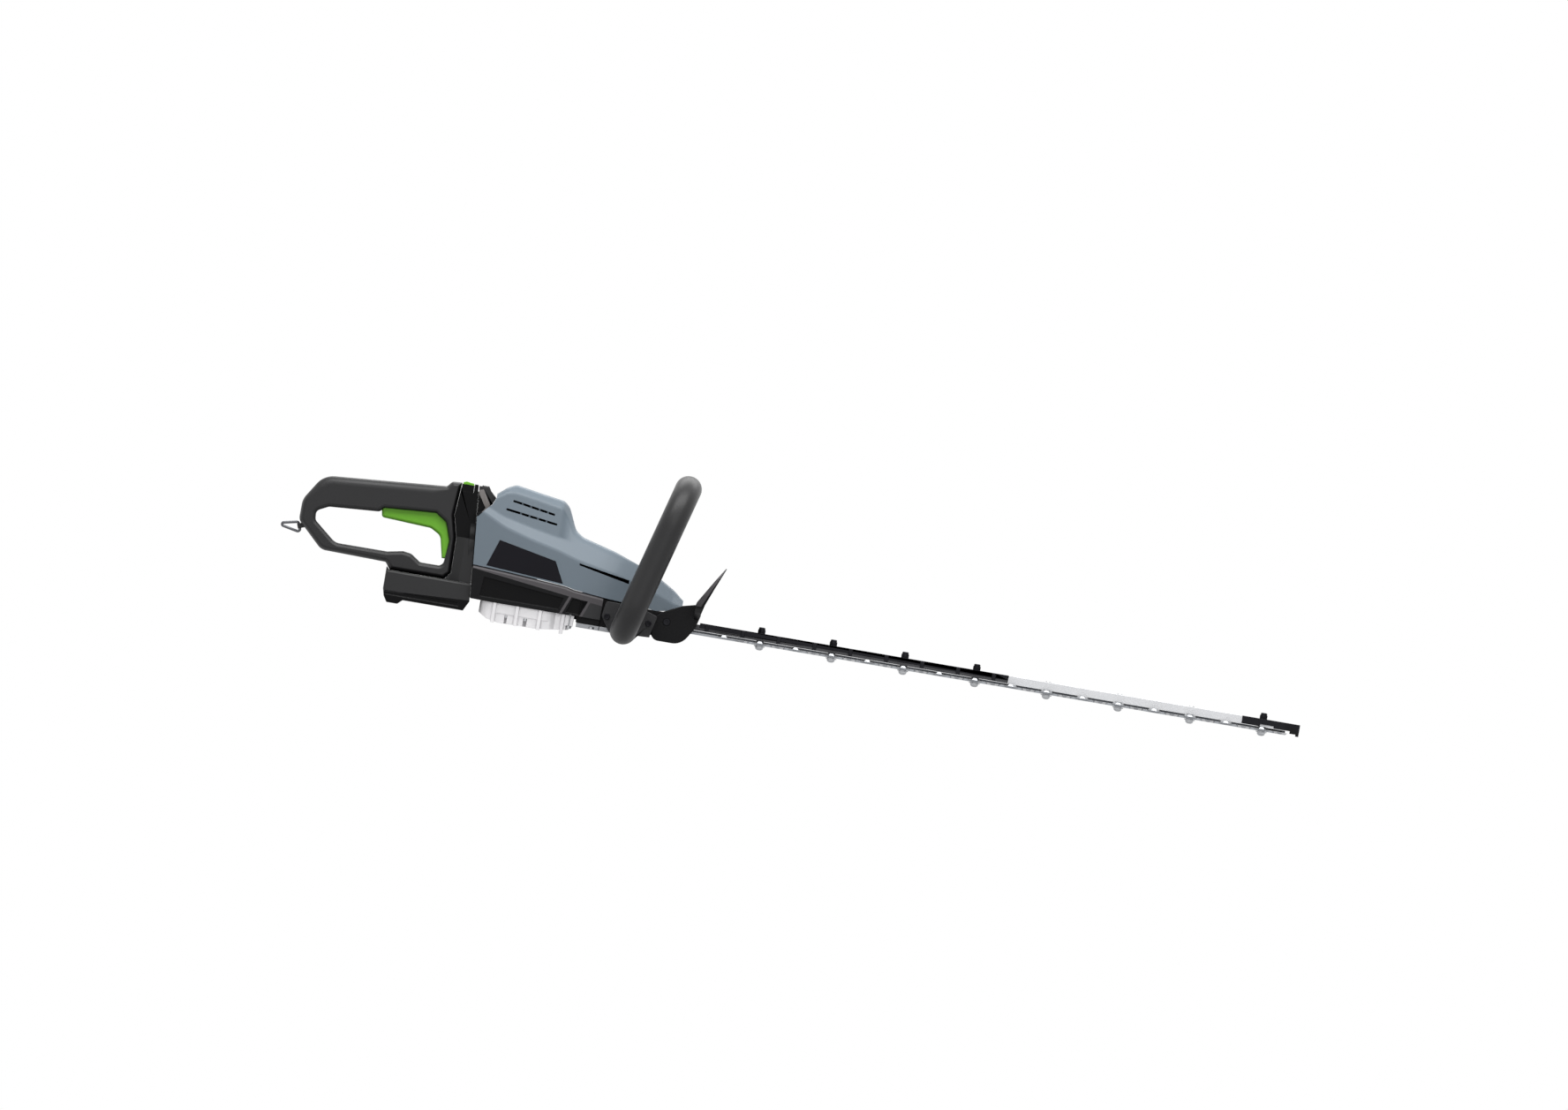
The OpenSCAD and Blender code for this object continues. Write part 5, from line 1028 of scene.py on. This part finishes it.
# %% Bracket
bracket = merged_copy("loop_bracket", "rounded_loop_bracket")
under_arc = bend((LOOP_X, LOOP_Z), 14.2, 203.7, 336.3, 40)
under = np.vstack([under_arc, [[-55, -28.2], [-55, -45], [-100, -45], [-100, -28.2]]])
carve(bracket, [slab("under", under, -BEYOND, BEYOND)])
fit(round_edges(bracket, 0.5), "loop_bracket", [FINISH["bracket_grey"]])
print("bracket:", len(bracket.data.polygons), "faces")

# %% [markdown]
# ## Hanging ring
# A wire triangle at the handle's end hangs the tool on a hook. It is bent from one wire, so its corners are
# arcs and its section never changes. A curve with a round bevel would do, but it would have to be turned
# into a mesh for the export. So the path is the outline helper again, and a circle is carried along it,
# closing both ways.

# %% Ring wire
WIRE = 1.5


def dense(outline, step):
    """The outline with extra points along its long straight runs, by distance along it."""
    loop = np.vstack([outline, outline[:1]])
    s = np.concatenate([[0], np.cumsum(np.linalg.norm(np.diff(loop, axis=0), axis=1))])
    extra = np.arange(0, s[-1], step)
    extra = extra[np.abs(extra[:, None] - s[None, :]).min(1) > step * 0.3]
    t = np.unique(np.concatenate([s[:-1], extra]))
    return np.column_stack([np.interp(t, s, loop[:, 0]), np.interp(t, s, loop[:, 1])])


ring_path = dense(rounded([[-467.2, 29.7, 1.9], [-438.5, 24, 2.4], [*RING_AT, 2.4]], 10), 2.0)
along = np.roll(ring_path, -1, axis=0) - np.roll(ring_path, 1, axis=0)
along /= np.linalg.norm(along, axis=1, keepdims=True)
normal = np.column_stack([-along[:, 1], along[:, 0]])
c, s = circle(WIRE, 24).T
wire_xz = ring_path[:, None, :] + c[None, :, None] * normal[:, None, :]
wire_y = np.broadcast_to(s, wire_xz.shape[:2])
ring = solid("hanging_wire_ring", np.stack([wire_xz[..., 0], wire_y, wire_xz[..., 1]], -1), ring=True)
fit(ring, "hanging_ring", angle=60)
print("ring:", len(ring.data.polygons), "faces")

# %% [markdown]
# ## Bolts
# Eight domed bolts hold the blades under the bar, and two more clamp the bar to the nose. A screw is
# turned, and its socket or its nut's flats are a hexagon that cuts the turned shape. The cut could be a
# Boolean for each one, but one profile does both: at each angle the radius is the smaller of the turned
# radius and the hexagon's reach there.

# %% Turned fasteners


def turned(name, profile, places, axis, cols=36):
    """One mesh of equal fasteners. Rows of the profile are (radius, height, flat); where flat is not zero the
    radius is the smaller of itself and flat / cos of the angle from the middle of the nearest flat."""
    rows = np.array(profile, float)
    phi = np.linspace(0, 2 * np.pi, cols, endpoint=False)
    reach = 1 / np.cos((phi % (np.pi / 3)) - np.pi / 6)
    limit = np.where(rows[:, 2:3] > 0, rows[:, 2:3] * reach[None, :], 1e9)
    r = np.minimum(rows[:, :1], limit)
    axis = np.array(axis, float)
    e1 = np.cross(axis, (1, 0, 0)) if abs(axis[0]) < 0.9 else np.cross(axis, (0, 0, 1))
    e1 /= np.linalg.norm(e1)
    e2 = np.cross(axis, e1)
    round_it = np.cos(phi)[None, :, None] * e1 + np.sin(phi)[None, :, None] * e2
    one = r[..., None] * round_it + rows[:, 1][:, None, None] * axis
    return joined(name, [solid(name, one + place) for place in np.array(places, float)])


UP, DOWN = (0, 0, 1), (0, 0, -1)
BOLT_X = 70 + 78.5 * np.arange(8)
NUTTED = BOLT_X[[0, 1, 2, 3, 7]]
PLAIN = BOLT_X[[4, 5, 6]]
STACK_END = -13.6
SHANK = 3
DOME = [[0.02, -4.9], [1.2, -4.86], [2.2, -4.66], [3.1, -4.2], [3.9, -3.5], [4.35, -2.7], [4.5, -1.9],
        [4.5, -1.25], [5.8, -1.05], [6, -0.85], [6, 0], [SHANK, 0]]


def bolts(name, top, at):
    """Domed bolts under the blades at the places x: dome, washer face, then the shank up to top."""
    rows = [[r, STACK_END + h, 0] for r, h in DOME] + [[SHANK, top - 0.5, 0], [2.6, top, 0], [0.02, top, 0]]
    return turned(name, rows, [[x, 0, 0] for x in at], UP)


blade_bolts = joined("domed_blade_bolts", [bolts("bolts", 4.6, NUTTED), bolts("bolts", 0.8, PLAIN)])
fit(blade_bolts, "blade_bolts", angle=40)
fit(bolts("nose_clamp_bolts", 4.0, (-70, -38)), "bar_screws", angle=40)
print("bolts:", len(blade_bolts.data.polygons), "faces")

# %% [markdown]
# ## Nuts and screws
# The lock nuts are black, each with the round collar that holds its nylon ring. The chamfer of a nut is a
# cone that meets the hexagon, which gives its curved corners. Screws with sockets close the housing, the
# handle and the clamps. They could be copied from one mesh as instances, but the export wants one mesh for
# each node, so they are listed by place and direction and joined.

# %% Nuts, and screws with sockets
FLAT = 4.07


def arc_rows(r, h, size, a0, a1, n=5):
    """Rows of a rounded edge: a circle of the given size about (r, h), from one angle to another."""
    a = np.radians(np.linspace(a0, a1, n))
    return [[r + size * math.cos(t), h + size * math.sin(t), 0] for t in a]


def socket_head(head_r, head_h, shank_r, length):
    """Rows of a socket screw, its head's top at height 0: hexagon socket, round rim, shank, chamfered end."""
    key = head_r * 0.48
    rim = head_r * 0.16
    mouth = key * 1.16
    socket = [[0.02, -head_h * 0.62, 0], [mouth, -head_h * 0.6, key], [mouth, -0.12, key],
              [mouth + 0.12, 0, 0]]
    shank = [[head_r, -head_h, 0], [shank_r, -head_h, 0], [shank_r, -length + 0.4, 0],
             [shank_r - 0.35, -length, 0], [0.02, -length, 0]]
    return socket + arc_rows(head_r - rim, -rim, rim, 90, 0) + shank


def screws(node, name, head, placed, finishes=None):
    """Socket screws for a node, as one mesh. Each place is (point, direction of the head's top)."""
    rows = socket_head(*head)
    each = [turned(name, rows, [point], way) for point, way in placed]
    fit(joined(name, each), node, finishes, 40)
    print(name, len(placed))


nut_body = [[3.05, 0, 0], [4.3, 0, FLAT], [4.7, 0.3, FLAT], [4.7, 3.3, FLAT], [4.1, 4.1, FLAT], [3.5, 4.3, 0]]
nut_rows = nut_body + arc_rows(2.3, 5.4, 1.2, 0, 75) + [[2.4, 6.6, 0], [2.2, 6.2, 0]]
fit(turned("black_lock_nuts", nut_rows, [[x, 0, 0] for x in NUTTED], UP), "blade_nuts", angle=40)

GEAR_COVER_SCREWS = ((-229, 24), (-205, 32), (-136.5, 31.2), (-184, 32.3))
screws("guard_screws", "guard_pivot_screws", (4, 2, 2, 12),
       [((PIVOT[0], s * 29.8, PIVOT[1]), (0, s, 0)) for s in SIDES], [FINISH["black_steel"]])
screws("loop_clamp_screws", "bracket_cap_screws", (3.5, 3, 2, 12),
       [((x, s * 39, -10), (0, s, 0)) for x in (-97.5, -52) for s in SIDES], [FINISH["black_steel"]])
screws("gear_cover_screws", "ribbed_cover_screws", (2.75, 2.8, 1.25, 20),
       [((x, s * y, -29.8), DOWN) for x, y in GEAR_COVER_SCREWS for s in SIDES])
screws("handle_screws", "grip_shell_screws", (3.1, 2.4, 1.65, 28),
       [((x, 14.9, z), (0, 1, 0)) for x, z in SCREW_AT])
pairs = [turned("pair", socket_head(3, 2.4, 1.49, length), [(x, s * y, z) for s in SIDES], DOWN)
         for length, x, y, z in ((46, -236.6, 34, -15.4), (50, -112, 31.3, -26.5))]
fit(joined("housing_screws", pairs), "cover_screws", angle=40)

# %% [markdown]
# ## Blades
# Each blade is punched from dark spring steel and its teeth are ground afterwards on a slant, so the
# slanting faces alone are bright. Two meshes would split at the ground edge. One mesh with two finishes
# stays whole, and a face is slanted when its normal points neither up nor out.

# %% Two-tone blades
TOOTH_FOOT = 13.6
for node, name in (("upper_blade", "dark_upper_blade"), ("lower_blade", "dark_lower_blade")):
    blade = fit(merged_copy(node, name), node, [FINISH[SLOT_OF[node]], FINISH["edge"]], 20)
    faces = zones(blade, lambda x, y, z, facing: (facing[2] > 0.08) & (facing[2] < 0.97) & (y > TOOTH_FOOT))
    print(node, "rolled and ground faces:", faces)

# %% [markdown]
# ## Springs
# Each button and the trigger come back by a coil spring. The CAD's coils are coarse, and could stay, but they
# show when the handle is opened, so each is a wire circle carried along a helix.

# %% Coil springs


def coil(name, foot, radius, wire, height, turns, cols=10):
    """A helix of the given radius and height from its foot, as a wire of the given radius. Its first and last
    three-quarter turns lie flat, so the ends stand square."""
    t = np.linspace(0, 1, int(turns * 28))
    a = 2 * np.pi * turns * t
    flat = 0.75 / turns
    rise = np.clip((t - flat) / (1 - 2 * flat), 0, 1) * (height - 2 * wire) + wire
    centre = np.column_stack([radius * np.cos(a), radius * np.sin(a), rise])
    out = np.column_stack([np.cos(a), np.sin(a), 0 * a])
    c, s = circle(1, cols).T
    ring = c[None, :, None] * out[:, None, :] + s[None, :, None] * np.array([0, 0, 1.0])
    return solid(name, centre[:, None, :] + wire * ring + np.array(foot, float))


for node, joint, foot, radius, wire, height, turns, anchor, keep in (
        ("trigger_spring", "trigger_press", (-303, 0, 72.4), 3.4, 0.5, 19.3, 6, 91.7, 0.83),
        ("lock_spring", "lock_off_press", (-268, 0, 86.1), 2.2, 0.4, 4.2, 4, 86.1, 0.3),
        ("release_spring", "release_press", (-248.7, 0, 92.1), 2.6, 0.4, 3.8, 3.6, 92.1, 0.22)):
    spring = coil("coil_" + node, foot, radius, wire, height, turns)
    settle(spring, node, angle=60)
    spring.modifiers.clear()
    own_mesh(spring)
    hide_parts(node)
    print(spring.name, turns, "turns")

# %% [markdown]
# ## Inside the housing
# Motor, gears, rods and bearings are hidden in use, but the part can be opened. They could stay as bare CAD
# meshes, yet machined edges are always broken with a file or a cutter, so each gets its real finish and a
# fine radius.

# %% Inner pieces
INNER_RADII = {
    "motor_flange": 0.25, "motor_end_bracket": 0.25, "motor_stator": 0.12, "stator_coils": 0.8,
    "motor_bearings": 0.15, "crank_bearings": 0.15, "controller": 0.25, "motor_rotor": 0.2,
    "motor_shaft": 0.12, "cooling_fan": 0.2, "crank_gear": 0.12, "crank_shaft": 0.2, "upper_rod": 0.25,
    "lower_rod": 0.25, "upper_rod_pin": 0.15, "lower_rod_pin": 0.15, "spindle_ring": 0.3,
    "switch_module": 0.3, "trigger_pin": 0.15}
for node, width in INNER_RADII.items():
    soften(node, width)
MOTOR_X, SCREW_CIRCLE = -206.5, 31
screws("motor_screws", "motor_cap_screws", (2.5, 2.4, 1.25, 9),
       [((MOTOR_X + SCREW_CIRCLE * math.cos(a), SCREW_CIRCLE * math.sin(a), 8.4), UP)
        for a in np.radians((45, 135, 225, 315))])
print("inner pieces:", len(INNER_RADII))

# %% [markdown]
# ## Last steps
# Every CAD mesh should now be hidden behind a dressed piece, and a count of those that still show proves it.

# %% Count of CAD meshes still showing
print("CAD meshes still showing:", sum(not piece.hide_render for piece in frame["nodes"].values()))
